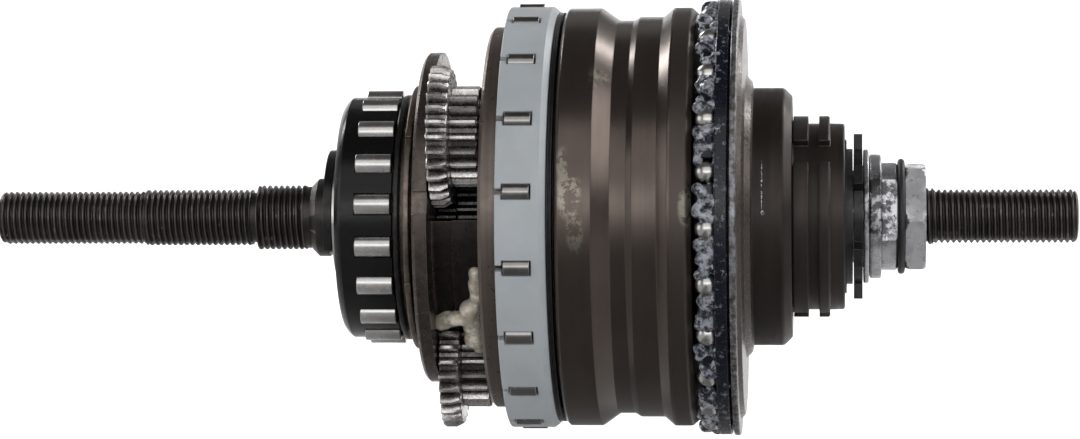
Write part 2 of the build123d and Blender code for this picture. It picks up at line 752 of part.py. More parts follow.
def planet_a(angle):
    """Stepped planet of the overdrive stage, its three gears in one piece."""
    body = None
    x = PLANET_A_X
    for teeth, sun_teeth, width in zip(PLANET_A_TEETH, SUN_A_TEETH, PLANET_A_WIDTHS):
        step = gear(teeth, MODULE_A, x, width, planet_phase(sun_teeth, teeth, angle))
        if body is None:
            step &= turned([
                (x, 0),
                (x, planet_a_tip + TOUCH - PLANET_A_BEVEL / 2),
                (x + PLANET_A_BEVEL / 2, planet_a_tip + TOUCH),
                (x + width - PLANET_A_BEVEL, planet_a_tip + TOUCH),
                (x + width, planet_a_tip - PLANET_A_BEVEL),
                (x + width, 0),
            ])
            body = step
        else:
            body += step
        x += width
    body -= rod(PLANET_A_X, planet_a_end - PLANET_A_X, PIN_A_R + RUN)
    return Pos(0, *at(orbit_a, angle)) * body


def planet_b(angle):
    """Stepped planet of the reduction stage with a plain hub on its left."""
    small, large = PLANET_B_TEETH
    small_phase = planet_phase(SUN_B_TEETH, small, angle)
    body = rod(hub_b_x, PLANET_B_HUB_W, PLANET_B_HUB_R)
    body += gear(small, MODULE_B, small_b_x, PLANET_B_WIDTHS[0], small_phase)
    body += gear(large, MODULE_B, large_b_x, PLANET_B_WIDTHS[1], angle)
    body -= rod(hub_b_x, planet_b_end - hub_b_x, PIN_B_R + RUN)
    return Pos(0, *at(orbit_b, angle)) * body


def overdrive_ring_gear():
    """Internal gear whose outside carries the cam flats of the middle clutch."""
    body = turned([
        (ring_x, ring_a_blank),
        (ring_x, ring_r - RING_CHAMFER),
        (ring_x + RING_CHAMFER, ring_r),
        (ring_lip_x, ring_r),
        (ring_lip_x, ring_a_blank),
    ])
    cam_w = mid_cage_end - ring_lip_x
    body += polygon_cam(ring_lip_x, cam_w, mid_cam_flat, MID_ROLLER_ANGLE, MID_RELEASE, ring_a_blank)
    body += turned([
        (mid_cage_end, ring_a_blank),
        (mid_cage_end, snap_rim_r),
        (snap_x - TOUCH, snap_rim_r),
        (snap_x - TOUCH, snap_bore_r),
        (snap_end + TOUCH, snap_bore_r),
        (snap_end + TOUCH, snap_rim_r),
        (ring_end, snap_rim_r),
        (ring_end, ring_a_blank),
    ])
    small = PLANET_A_TEETH[2]
    phase = planet_phase(SUN_A_TEETH[2], small, PLANET_A_ANGLE)
    tooth = ring_phase(RING_A_TEETH, small, PLANET_A_ANGLE, phase)
    body -= ring_cut(RING_A_TEETH, MODULE_A, ring_x, ring_teeth_end - ring_x, tooth)
    return body - rod(ring_teeth_end, ring_end - ring_teeth_end, ring_land_r)


def middle_clutch_cage():
    inner = mid_cage_bore
    body = turned([
        (mid_cage_x, inner),
        (mid_cage_x, mid_cage_r - MID_CAGE_BEVEL / 3),
        (mid_cage_x + MID_CAGE_BEVEL / 3, mid_cage_r),
        (mid_cage_end - MID_CAGE_BEVEL, mid_cage_r),
        (mid_cage_end, mid_cage_r - MID_CAGE_BEVEL),
        (mid_cage_end, inner),
    ])
    width = MID_ROLLER_W + 2 * MID_END_PLAY
    cuts = []
    for angle in spread(CLUTCH_ROLLERS, MID_ROLLER_ANGLE):
        cuts.append(radial_block(mid_roller_x - MID_END_PLAY, width, inner - 1, mid_cage_r + 1,
                                 2 * (MID_ROLLER_R + POCKET_PLAY), angle))
        slit_w = mid_roller_x - mid_cage_x
        cuts.append(radial_block(mid_cage_x - 0.5, slit_w + 0.5, inner - 1, mid_cage_r + 1, MID_SLIT_W, angle))
    return body - cuts


def cage_snap_ring():
    """Snap ring in the ring gear's groove, with a shallow groove round its outside."""
    middle = (snap_x + snap_end) / 2
    bore = snap_bore_r + SEAT
    return turned([
        (snap_x, bore),
        (snap_x, snap_r),
        (middle - SNAP_GROOVE / 2, snap_r),
        (middle, snap_r - SNAP_GROOVE),
        (middle + SNAP_GROOVE / 2, snap_r),
        (snap_end, snap_r),
        (snap_end, bore),
    ])


def gear_drum():
    """Drum with the reduction stage's internal gear, driven at its right wall."""
    body = turned([
        (drum_x, drum_bore_r),
        (drum_x, drum_land_r - DRUM_EDGE),
        (drum_x + DRUM_EDGE, drum_land_r),
        (drum_slope_x, drum_land_r),
        (drum_floor_x, drum_floor_r),
        (drum_step_x, drum_floor_r),
        (drum_band_x, drum_band_r),
        (drum_rise_x, drum_band_r),
        (drum_right_x, drum_land_r),
        (drum_end - DRUM_SHOULDER, drum_land_r),
        (drum_end - DRUM_SHOULDER / 3, drum_land_r - DRUM_SHOULDER / 3),
        (drum_end, drum_land_r - DRUM_SHOULDER),
        (drum_end, SPIGOT_R + SEAT),
        (drum_web_x, SPIGOT_R + SEAT),
        (drum_web_x, drum_bore_r),
        (drum_teeth_end, drum_bore_r),
        (drum_teeth_end, ring_b_blank),
        (drum_teeth_x, ring_b_blank),
        (drum_teeth_x, drum_bore_r),
    ])
    tooth = ring_phase(RING_B_TEETH, PLANET_B_TEETH[1], PLANET_B_ANGLE, PLANET_B_ANGLE)
    return body - ring_cut(RING_B_TEETH, MODULE_B, drum_teeth_x, drum_teeth_end - drum_teeth_x, tooth)


def driver():
    """Flange with the ball track, body and sprocket seat with its lug notches."""
    neck_r = SPROCKET_SEAT_R - NECK_DEPTH
    groove_r = SPROCKET_SEAT_R - RING_GROOVE_DEPTH
    tail_r = SPROCKET_SEAT_R - TAIL_STEP
    pocket_r = SPIGOT_R - SPIGOT_WALL
    bush_bore = bush_r + SEAT
    body = turned_with_race(
        [
            (driver_x, bush_bore),
            (driver_x, driver_tube_r),
            (driver_pocket_x, driver_tube_r),
            (driver_pocket_x, pocket_r),
            (driver_x, pocket_r),
            (driver_x, SPIGOT_R),
            (track_x, SPIGOT_R),
            (track_x, ball_orbit - race_r),
        ],
        (ball_x, ball_orbit), race_r, -90, 0,
        [
            (ball_x + race_r, shoulder_r),
            (shoulder_end, shoulder_r),
            (shoulder_end, cap_seat_r),
            (driver_body_x, cap_seat_r),
            (driver_body_x, DRIVER_BODY_R),
            (driver_body_end - DRIVER_CHAMFER, DRIVER_BODY_R),
            (driver_body_end, DRIVER_BODY_R - DRIVER_CHAMFER),
            (driver_body_end, neck_r),
            (sprocket_seat_x, neck_r),
            (sprocket_seat_x, SPROCKET_SEAT_R),
            (seat_end, SPROCKET_SEAT_R),
            (seat_end, groove_r),
            (groove_end, groove_r),
            (groove_end, SPROCKET_SEAT_R),
            (nose_end - LUG_EDGE, SPROCKET_SEAT_R),
            (nose_end, SPROCKET_SEAT_R - LUG_EDGE),
            (nose_end, tail_r),
            (tail_end - LUG_EDGE, tail_r),
            (tail_end, tail_r - LUG_EDGE),
            (tail_end, cone_ball_orbit + cup_r),
            (cone_ball_x - cup_r, cone_ball_orbit + cup_r),
            (cone_ball_x - cup_r, DRIVER_BORE_R),
            (shoulder_end, DRIVER_BORE_R),
            (shoulder_end, bush_bore),
        ],
    )
    notch = 2 * SPROCKET_SEAT_R * sin(radians(LUG_NOTCH / 2))
    width = nose_end - sprocket_seat_x
    cuts = [
        radial_block(sprocket_seat_x, width, groove_r, SPROCKET_SEAT_R + 1, notch, angle)
        for angle in spread(LUGS, LUG_ANGLE)
    ]
    return body - cuts


def driver_bush():
    start = driver_x + 4 * TOUCH
    return tube(start, driver_pocket_x - start, bush_r, AXLE_R + RUN)


def right_dust_cap():
    return turned([
        (cap_x, cap_seat_r + SEAT),
        (cap_x, cap_r - CAP_ROUND),
        (cap_x + CAP_ROUND, cap_r),
        (cap_rim_x - CAP_ROUND, cap_r),
        (cap_rim_x, cap_r - CAP_ROUND),
        (cap_rim_x, cap_r - CAP_LIP_DEPTH),
        (cap_cone_x, cap_r - CAP_LIP_DEPTH - CAP_CONE_DEPTH),
        (cap_tail_x, cap_seat_r + CAP_TAIL_WALL),
        (cap_end, cap_seat_r + CAP_TAIL_EDGE),
        (cap_end, cap_seat_r + SEAT),
    ])


def balls(count, x, orbit, radius, first_angle):
    places = [Pos(x, *at(orbit, angle)) for angle in spread(count, first_angle)]
    return [place * Sphere(radius) for place in places]


def retainer(points, x, count, radius, orbit, first_angle):
    """Ring that keeps the balls apart, with a round pocket through it for each ball."""
    body = turned(points)
    pocket = Pos(x, orbit, 0) * Rot(90, 0, 0) * Cylinder(radius, orbit / 3)
    return body - [Rot(angle, 0, 0) * pocket for angle in spread(count, first_angle)]


def ball_retainer():
    band_bore = shoulder_r + BAND_GAP
    points = [
        (retainer_x, retainer_bore_r),
        (retainer_x, retainer_r - RETAINER_ROUND),
        (retainer_x + RETAINER_ROUND / 2, retainer_r - RETAINER_ROUND / 4),
        (retainer_x + RETAINER_ROUND, retainer_r),
        (band_x - RETAINER_ROUND / 2, retainer_r),
        (band_x, band_r),
        (band_end, band_r),
        (band_end, band_bore),
        (retainer_finger_x, band_bore),
        (retainer_finger_x, retainer_bore_r),
    ]
    return retainer(points, ball_x, BALL_COUNT, race_r, ball_orbit, BALL_ANGLE)


def cone_retainer():
    low = cone_ball_orbit + CONE_RETAINER_RISE
    high = low + CONE_RETAINER_WALL
    start = cone_ball_x - CONE_RETAINER_LEAD
    end = cone_ball_x + CONE_RETAINER_TAIL
    points = [(start, low), (start, high), (end, high), (end, low)]
    return retainer(points, cone_ball_x, CONE_BALLS, cup_r, cone_ball_orbit, 0)


def right_cone():
    """Cone with its race on the left, the shift ring's neck and a body with two flats."""
    touch = cup_r / 2 ** 0.5
    line_r = cone_ball_orbit - touch - (cone_ball_x + touch)
    bore = AXLE_R + SEAT
    body = turned([
        (cone_start_x, bore),
        (cone_start_x, line_r + cone_start_x),
        (cone_lip_x, line_r + cone_lip_x),
        (cone_lip_x + CONE_LIP_W, line_r + cone_lip_x),
        (cone_lip_x + CONE_LIP_W, NECK_SHAFT_R),
        (cone_body_x, NECK_SHAFT_R),
        (cone_body_x, CONE_BODY_R - CONE_CHAMFER),
        (cone_body_x + CONE_CHAMFER, CONE_BODY_R),
        (cone_step_x, CONE_BODY_R),
        (cone_step_x, CONE_STEP_R),
        (cone_end - CONE_CHAMFER, CONE_STEP_R),
        (cone_end, CONE_STEP_R - CONE_CHAMFER),
        (cone_end, bore),
    ])
    length = cone_end - cone_step_x
    for side in (1, -1):
        cut = Box(length, 2 * CONE_BODY_R, CONE_BODY_R)
        body -= Pos(cone_step_x + length / 2, 0, side * (CONE_FLAT_HALF + CONE_BODY_R / 2)) * cut
    return body


def right_seal():
    bore = NECK_SHAFT_R + SEAT
    return turned([
        (seal_x, bore),
        (seal_x, seal_lip_r),
        (seal_step_x, seal_lip_r),
        (seal_step_x, SEAL_R),
        (seal_end, SEAL_R),
        (seal_end, bore),
    ])


def shift_ring():
    """Tabbed ring that a shift lever's cable unit turns to pick a gear."""
    body = tube(shift_x, SHIFT_W, SHIFT_R, NECK_SHAFT_R + RUN)
    for angle in spread(SHIFT_TAB_COUNT, SHIFT_ANGLE):
        body += radial_block(shift_x, SHIFT_W, SHIFT_R - 1, SHIFT_TAB_R, SHIFT_TAB_W, angle)
    return body


def cone_washer():
    return tube(washer_x, WASHER_W, WASHER_R, NECK_SHAFT_R + SEAT)


def cone_o_ring():
    x = o_ring_x
    end = x + O_RING_W
    return turned([
        (x, O_RING_BORE_R),
        (x, O_RING_R - O_RING_ROUND),
        (x + O_RING_ROUND / 2, O_RING_R - O_RING_ROUND / 5),
        ((x + end) / 2, O_RING_R),
        (end - O_RING_ROUND / 2, O_RING_R - O_RING_ROUND / 5),
        (end, O_RING_R - O_RING_ROUND),
        (end, O_RING_BORE_R),
    ])


def right_lock_nut():
    corners = [at(nut_corner_r, angle) for angle in spread(6, NUT_ANGLE)]
    width = nut_end - nut_x
    body = extrude(Plane.YZ.offset(nut_x) * make_face(Polyline(*corners, close=True)), amount=width)
    body &= turned([
        (nut_x, 0),
        (nut_x, nut_corner_r - NUT_CHAMFER),
        (nut_x + NUT_CHAMFER, nut_corner_r + TOUCH),
        (nut_end - NUT_CHAMFER, nut_corner_r + TOUCH),
        (nut_end, nut_corner_r - NUT_CHAMFER),
        (nut_end, 0),
    ])
    return body - rod(nut_x, width, AXLE_R + SEAT)


def build():
    """Every piece of the hub by name. A list is a group of like pieces."""
    parts = {
        "axle": axle(),
        "left_collar": left_collar(),
        "left_clip": left_clip(),
        "left_side_washer": left_side_washer(),
        "left_spacer": left_spacer(),
        "sun_spacers": sun_spacers(),
        "sun_gear_34": stage_a_sun(0, RUN),
        "sun_gear_43": stage_a_sun(1, RUN),
        "sun_gear_48": stage_a_sun(2, SEAT),
        "sun_gear_31": sun(SUN_B_TEETH, MODULE_B, sun_b_x, sun_b_w, SEAT),
        "sun_pawl_34": pawl(34, False),
        "sun_pawl_43": pawl(43, False),
        "sun_pawl_48": pawl(48, True),
        "sun_pawl_31": pawl(31, True),
        "left_clutch_cam": left_clutch_cam(),
        "left_clutch_cage": left_clutch_cage(),
        "left_clutch_rollers": clutch_rollers(left_roller_x, LEFT_ROLLER_W, LEFT_ROLLER_R,
                                              left_roller_orbit, LEFT_ROLLER_ANGLE),
        "left_clutch_plate": left_clutch_plate(),
        "left_clutch_spring": left_clutch_spring(),
        "planet_carrier": planet_carrier(),
        "planet_pins_overdrive": planet_pins_a(),
        "planet_pins_reduction": planet_pins_b(),
        "carrier_bush": carrier_bush(),
        "overdrive_ring_gear": overdrive_ring_gear(),
        "middle_clutch_cage": middle_clutch_cage(),
        "middle_clutch_rollers": clutch_rollers(mid_roller_x, MID_ROLLER_W, MID_ROLLER_R,
                                                mid_roller_orbit, MID_ROLLER_ANGLE),
        "cage_snap_ring": cage_snap_ring(),
        "gear_drum": gear_drum(),
        "ball_retainer": ball_retainer(),
        "hub_balls": balls(BALL_COUNT, ball_x, ball_orbit, BALL_R, BALL_ANGLE),
        "driver": driver(),
        "driver_bush": driver_bush(),
        "right_dust_cap": right_dust_cap(),
        "cone_retainer": cone_retainer(),
        "cone_balls": balls(CONE_BALLS, cone_ball_x, cone_ball_orbit, CONE_BALL_R, 0),
        "right_cone": right_cone(),
        "right_seal": right_seal(),
        "shift_ring": shift_ring(),
        "cone_washer": cone_washer(),
        "cone_o_ring": cone_o_ring(),
        "right_lock_nut": right_lock_nut(),
    }
    for number, angle in enumerate(angles_a, 1):
        parts[f"overdrive_planet_{number}"] = planet_a(angle)
    for number, angle in enumerate(angles_b, 1):
        parts[f"reduction_planet_{number}"] = planet_b(angle)
    return parts


os.makedirs("parts", exist_ok=True)
for name, shape in build().items():
    if isinstance(shape, list):
        shape = Compound(children=shape)
    export_step(shape, f"parts/{name}.step")
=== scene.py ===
"""Looks for the bare internal gear assembly of a bicycle hub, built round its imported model."""

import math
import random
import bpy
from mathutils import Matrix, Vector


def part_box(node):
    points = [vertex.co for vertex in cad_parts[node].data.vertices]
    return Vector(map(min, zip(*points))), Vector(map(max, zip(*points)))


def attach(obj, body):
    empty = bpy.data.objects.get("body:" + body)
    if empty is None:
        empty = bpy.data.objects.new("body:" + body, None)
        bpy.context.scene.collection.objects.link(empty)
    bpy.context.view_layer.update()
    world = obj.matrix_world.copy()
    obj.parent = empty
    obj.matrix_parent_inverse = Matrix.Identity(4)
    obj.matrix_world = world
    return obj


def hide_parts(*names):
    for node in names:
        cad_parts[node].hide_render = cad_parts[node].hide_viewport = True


bl_info = {
    "name": "Internal gear hub",
    "version": (1, 0, 0),
    "blender": (4, 5, 0),
    "location": "3D View > Sidebar > Gear hub",
    "description": "Builds the finish of a bare internal gear hub round its packed model",
    "category": "Object",
}

import bmesh
import bpy
from bpy.props import FloatProperty, FloatVectorProperty, IntProperty, PointerProperty
from mathutils import Vector, noise

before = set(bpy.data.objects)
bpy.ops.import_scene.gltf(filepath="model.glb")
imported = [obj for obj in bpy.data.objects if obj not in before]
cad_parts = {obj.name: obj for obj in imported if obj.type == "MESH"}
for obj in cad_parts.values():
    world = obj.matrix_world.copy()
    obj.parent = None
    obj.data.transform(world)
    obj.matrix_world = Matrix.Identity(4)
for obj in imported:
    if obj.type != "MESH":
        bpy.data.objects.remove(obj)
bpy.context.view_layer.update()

MM = 0.001
SEGMENTS = 240           # facets round a turned piece
CORNER_STEPS = 3         # facets in a rounded corner

# Camera, in metres and degrees, taken from the photograph's perspective
CAMERA_DISTANCE = 0.6
CAMERA_YAW = 4.75
CAMERA_ROLL = -0.1
CAMERA_TARGET = (0.00116, 0.0, -0.00044)
LENS = 117.3

# Gear teeth, in millimetres and degrees
PRESSURE = math.radians(25.0)
ADDENDUM = 0.9
DEDENDUM = 1.22
BACKLASH = 0.12
FLANK_STEPS = 5
MODULE_A = 48.0 / 63.0
PLANET_TEETH = (29, 20, 15)
SUN_TEETH = (34, 43, 48)
PLANET_WIDTHS = (3.4, 4.65, 6.0)
PLANETS = 3
PLANET_ANGLE = 146.4
PLANET_ORBIT = 24.0
PLANET_BORE = 2.51
TOOTH_EDGE = 0.14
TOOTH_END = (0.25, 0.25)    # turned bevel of a step's end, along and across the axle
FIRST_STEP_END = (1.35, 0.75)

# Roller clutches
ROLLERS = 18
LEFT_ROLLER_ANGLE = 174.0
LEFT_ROLLER_R = 1.9
LEFT_ORBIT = 19.7
MID_ROLLER_ANGLE = 173.5
MID_ROLLER_R = 1.6
MID_ORBIT = 34.654
POCKET_PLAY = 0.12
SLIT_W = 0.95
MID_END_PLAY = 0.22

# Hub ball ring
BALLS = 24
BALL_ANGLE = 183.3
BALL_ORBIT = 34.6
BALL_R = 1.985

# Right end
LUGS = 3
LUG_ANGLE = 140.0
LUG_NOTCH = 16.0
NUT_ANGLE = 185.3
NUT_ACROSS = 17.0

# Places where a finish changes
CARRIER_FLANGE_X = -15.0
DRUM_LAND_R = 36.1
DRUM_DULL_X = 24.6
CAP_LIP_END = 35.5

# Smears, scratches and wet dirt: middle and reach of each, in millimetres
DRUM_SMEARS = (
    ((8.6, -35.6, 4.0), (2.3, 6.0, 5.0)),
    ((9.6, -35.6, -2.6), (1.6, 6.0, 4.0)),
    ((7.6, -35.6, 8.6), (1.2, 6.0, 3.2)),
    ((13.2, -27.5, 23.0), (2.4, 6.0, 2.2)),
    ((27.4, -36.0, 1.5), (1.4, 6.0, 3.6)),
)
DRIVER_SCRATCHES = (
    ((39.3, -20.8, 5.2), (0.13, 5.0, 4.6)),
    ((39.45, -21.8, 0.6), (0.35, 3.0, 0.4)),
)
PLATING_DIRT = ((58.5, -8.0, 1.5), (5.5, 6.0, 7.5))

# Old grease between a post and the lower planet: points, number of lumps and their radius
GREASE_WEB = (
    (((-7.9, -20.4, -9.2), (-7.9, -18.6, -12.0), (-8.2, -16.6, -14.8), (-8.6, -13.6, -17.0),
      (-8.6, -9.6, -19.6), (-8.2, -9.8, -22.0)), 34, 1.15),
    (((-9.2, -16.6, -15.4), (-9.0, -13.0, -17.8), (-9.0, -10.4, -20.5)), 18, 1.75),
    (((-9.2, -15.4, -16.4), (-11.6, -15.0, -16.9), (-13.2, -13.8, -17.2), (-14.6, -13.2, -17.6)), 26, 1.4),
)

# Melting of grease lumps: size of a voxel, smoothing, and small waves on the surface
GREASE_VOXEL = 0.22
GREASE_SMOOTHINGS = 12
GREASE_SMOOTHING = 0.7
GREASE_WAVES = 900.0     # features per metre
GREASE_WAVE = 0.12       # height in millimetres

# Noises of the finishes: features per millimetre, detail, roughness and stretch
TURNING = (1.6, 5.0, 0.65, (1.0, 0.012, 0.012))
FINE_TURNING = (5.0, 3.0, 0.6, (1.0, 0.01, 0.01))
OIL_CLOUDS = (0.12, 5.0, 0.6, (1.6, 1.0, 1.0))
OIL_STREAKS = (0.5, 4.0, 0.6, (2.0, 0.3, 0.3))


def span(node):
    """Left end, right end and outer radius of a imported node, in millimetres."""
    low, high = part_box(node)
    radius = max(high[1], high[2], -low[1], -low[2])
    return low[0] / MM, high[0] / MM, radius / MM


def rounding():
    """Radius of a plain rounded edge, in millimetres."""
    return bpy.context.scene.hub_sizes.edge / MM


def smoothstep(value):
    value = min(max(value, 0.0), 1.0)
    return value * value * (3 - 2 * value)


def evenly(first, count):
    """Angles of even places round the axle."""
    return [first + 360.0 * k / count for k in range(count)]


def off_place(angle, first, count):
    """Degrees from the nearest of a number of even places round the axle."""
    pitch = 360.0 / count
    return abs((angle - first + pitch / 2) % pitch - pitch / 2)


def at(orbit, angle):
    return (0.0, orbit * math.cos(math.radians(angle)), orbit * math.sin(math.radians(angle)))


def circle(x, r, angles):
    """Points at one radius round the axle."""
    return [(x, *at(r, angle)[1:]) for angle in angles]


def strip(first, second, count):
    """Faces between two rings of points, given by the rings' numbers."""
    return [(first * count + k, first * count + (k + 1) % count,
             second * count + (k + 1) % count, second * count + k) for k in range(count)]


def skin(rings, count, capped):
    """Faces of a run of rings, each joined to the next, with its ends open or capped."""
    faces = [face for i in range(rings - 1) for face in strip(i, i + 1, count)]
    if capped:
        faces += [tuple(range(count)), tuple(range((rings - 1) * count, rings * count))]
    return faces


class Shape:
    """Vertices and faces in millimetres, collected before they become one mesh."""

    def __init__(self, verts=(), faces=()):
        self.verts = list(verts)
        self.faces = list(faces)

    def add(self, verts, faces, shift=(0.0, 0.0, 0.0)):
        base = len(self.verts)
        self.verts += [(x + shift[0], y + shift[1], z + shift[2]) for x, y, z in verts]
        self.faces += [tuple(base + i for i in face) for face in faces]

    def mesh(self, name):
        made = bpy.data.meshes.new(name)
        made.from_pydata([(x * MM, y * MM, z * MM) for x, y, z in self.verts], [], self.faces)
        return made


def round_corners(profile, closed):
    """Turns (x, r, fillet) corners into a run of (x, r) points with arcs at the corners."""
    run = []
    count = len(profile)
    for i, (x, r, fillet) in enumerate(profile):
        corner = Vector((x, r))
        back = Vector(profile[i - 1][:2]) - corner
        on = Vector(profile[(i + 1) % count][:2]) - corner
        straight = fillet <= 0 or (not closed and i in (0, count - 1))
        angle = 0.0 if straight else back.angle(on)
        if angle > math.pi - 0.03 or angle < 0.03:
            run.append((x, r))
            continue
        reach = min(fillet / math.tan(angle / 2), 0.45 * back.length, 0.45 * on.length)
        radius = reach * math.tan(angle / 2)
        half = (math.pi - angle) / 2
        first, last = back.normalized() * reach, on.normalized() * reach
        inward = (first + last).normalized()
        for k in range(CORNER_STEPS + 1):
            turn = (k / CORNER_STEPS - 0.5) * 2 * half
            chord = (first + last) / 2 + (last - first) / 2 * math.sin(turn) / math.sin(half)
            rise = (math.cos(turn) - math.cos(half)) * radius
            run.append(tuple(corner + chord - inward * rise))
    return run


def lathe(profile, edge, closed=True, steps=SEGMENTS):
    """Turned shell from (x, r) or (x, r, fillet) corners. An open one gets flat ends."""
    run = round_corners([p if len(p) == 3 else (*p, edge) for p in profile], closed)
    angles = evenly(0.0, steps)
    verts = [point for x, r in run for point in circle(x, r, angles)]
    faces = skin(len(run), steps, not closed)
    if closed:
        faces += strip(len(run) - 1, 0, steps)
    return verts, faces


def marks_between(marks, step):
    """Angles round a full turn that hit every mark and are nowhere further apart than a step."""
    marks = sorted(set(round(m % 360.0, 5) for m in marks))
    angles = []
    for start, end in zip(marks, marks[1:] + [marks[0] + 360.0]):
        parts = max(1, math.ceil((end - start) / step))
        angles += [start + (end - start) * k / parts for k in range(parts)]
    return angles


def either_side(middles, *halves):
    """Angles at each distance on both sides of each middle."""
    return [middle + side * half for middle in middles for side in (-1, 1) for half in halves]


def cells(xs, angles, solid, outer, inner):
    """Ring cut into cells by places along the axle and angles round it, with some cells left open.

    solid(x, angle) says whether the cell with that middle is there, and outer(x) and
    inner(x) give its radii."""
    rows, count = len(xs), len(angles)
    verts = []
    for x in xs:
        for pair in zip(circle(x, outer(x), angles), circle(x, inner(x), angles)):
            verts += pair

    def face(*corners):
        return tuple((i * count + j % count) * 2 + layer for i, j, layer in corners)

    turn = angles + [angles[0] + 360.0]
    there = {(i, j): solid((xs[i] + xs[i + 1]) / 2, (turn[j] + turn[j + 1]) / 2)
             for i in range(rows - 1) for j in range(count)}
    faces = []
    for i, j in (cell for cell, full in there.items() if full):
        k = j + 1
        for layer in (0, 1):
            faces.append(face((i, j, layer), (i + 1, j, layer), (i + 1, k, layer), (i, k, layer)))
        for near, end in ((i - 1, i), (i + 1, i + 1)):
            if not there.get((near, j), False):
                faces.append(face((end, j, 0), (end, k, 0), (end, k, 1), (end, j, 1)))
        for near, end in ((j - 1, j), (j + 1, k)):
            if not there[i, near % count]:
                faces.append(face((i, end, 0), (i + 1, end, 0), (i + 1, end, 1), (i, end, 1)))
    used = sorted({v for one in faces for v in one})
    place = {v: n for n, v in enumerate(used)}
    return [verts[v] for v in used], [tuple(place[v] for v in one) for one in faces]


def involute(angle):
    return math.tan(angle) - angle


def gear_outline(teeth, module, phase):
    """(r, angle) points of an external gear, one tooth centred on the phase angle."""
    pitch = teeth * module / 2
    base = pitch * math.cos(PRESSURE)
    low, high = pitch - DEDENDUM * module, pitch + ADDENDUM * module
    thickness = (math.pi * module - BACKLASH) / 2

    def half(r):
        local = math.acos(base / max(r, base))
        return math.degrees(thickness / (2 * pitch) + involute(PRESSURE) - involute(local))

    radii = [low + (high - low) * k / FLANK_STEPS for k in range(FLANK_STEPS + 1)]
    points = []
    for centre in evenly(phase, teeth):
        points += [(r, centre - half(r)) for r in radii]
        points.append((high, centre))
        points += [(r, centre + half(r)) for r in reversed(radii)]
    return points


def toothed(outline, layers, bore):
    """Toothed disc from its outline. A layer is (x, inset of the edges, largest radius)."""
    flat = [Vector(at(r, angle)[1:]) for r, angle in outline]
    count = len(flat)
    normals = []
    for i in range(count):
        along = flat[(i + 1) % count] - flat[i - 1]
        normals.append(Vector((along.y, -along.x)).normalized())
    verts = []
    for x, inset, limit in layers:
        for point, normal in zip(flat, normals):
            inner = point - normal * inset
            verts.append((x, *(inner * min(1.0, limit / inner.length))))
    for x in (layers[0][0], layers[-1][0]):
        verts += [(x, *(point.normalized() * bore)) for point in flat]
    last = len(layers) - 1
    left_bore, right_bore = last + 1, last + 2
    faces = skin(len(layers), count, False)
    for first, second in ((0, left_bore), (last, right_bore), (left_bore, right_bore)):
        faces += strip(first, second, count)
    return verts, faces


def planet_phase(sun_teeth, planet_teeth, angle):
    """Tooth angle of a planet step that meshes with a sun whose tooth is at 0 degrees."""
    return angle + 180.0 - (180.0 - sun_teeth * angle) / planet_teeth


def icosphere(subdivisions, radius):
    """Points and faces of one small ball."""
    ball = bmesh.new()
    bmesh.ops.create_icosphere(ball, subdivisions=subdivisions, radius=radius)
    made = [tuple(v.co) for v in ball.verts], [tuple(v.index for v in f.verts) for f in ball.faces]
    ball.free()
    return made


def make_piece(name, shape, body, finish, nodes=(), smooth=32.0, bevel=0.0):
    """One mesh object from a shape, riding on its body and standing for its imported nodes."""
    mesh = shape.mesh(name)
    solid = bmesh.new()
    solid.from_mesh(mesh)
    bmesh.ops.recalc_face_normals(solid, faces=solid.faces)
    solid.to_mesh(mesh)
    solid.free()
    dress(bpy.data.objects.new(name, mesh), body, finish, nodes, smooth, bevel)


def turned(name, node, body, finish, corners, edge):
    """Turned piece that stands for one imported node."""
    make_piece(name, Shape(*lathe(corners, edge)), body, finish, [node])


def dress(obj, body, finish, nodes=(), smooth=32.0, bevel=0.0):
    """Shading, rounded edges, material, body and slot of a new piece."""
    bpy.context.scene.collection.objects.link(obj)
    mesh = obj.data
    mesh.polygons.foreach_set("use_smooth", [True] * len(mesh.polygons))
    mesh.set_sharp_from_angle(angle=math.radians(smooth))
    mesh.materials.append(finishes()[finish])
    if bevel:
        edges = obj.modifiers.new("edges", "BEVEL")
        edges.width = bevel * MM
        edges.segments = 2
        edges.limit_method = "ANGLE"
        edges.angle_limit = math.radians(40)
        edges.use_clamp_overlap = True
    weighted = obj.modifiers.new("normals", "WEIGHTED_NORMAL")
    weighted.keep_sharp = True
    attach(obj, body)
    if nodes:
        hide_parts(*nodes)


def keep_nodes(finish, *names):
    """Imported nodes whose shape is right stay, and get their finish."""
    material = finishes()[finish]
    for name in names:
        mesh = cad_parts[name].data
        if not mesh.materials:
            mesh.materials.append(material)
        for i in range(len(mesh.materials)):
            mesh.materials[i] = material


def blob_piece(name, spots, body, finish, limit):
    """Grease lumps from many small balls (x, y, z, radius), melted together under a largest radius."""
    ball, faces = icosphere(2, 1.0)
    shape = Shape()
    for x, y, z, radius in spots:
        shape.add([(radius * a, radius * b, radius * c) for a, b, c in ball], faces, shift=(x, y, z))
    rough = bpy.data.objects.new(name + "_rough", shape.mesh(name))
    bpy.context.scene.collection.objects.link(rough)
    melt = rough.modifiers.new("melt", "REMESH")
    melt.mode = "VOXEL"
    melt.voxel_size = GREASE_VOXEL * MM
    calm = rough.modifiers.new("calm", "SMOOTH")
    calm.iterations = GREASE_SMOOTHINGS
    calm.factor = GREASE_SMOOTHING
    graph = bpy.context.evaluated_depsgraph_get()
    melted = bpy.data.meshes.new_from_object(rough.evaluated_get(graph))
    melted.name = name
    bpy.data.objects.remove(rough)
    for vert in melted.vertices:
        wave = noise.noise(Vector(vert.co) * GREASE_WAVES) * GREASE_WAVE * MM
        radius = math.hypot(vert.co.y, vert.co.z)
        wanted = min(radius + wave, limit * MM)
        vert.co.y *= wanted / radius
        vert.co.z *= wanted / radius
    dress(bpy.data.objects.new(name, melted), body, finish, smooth=80.0)


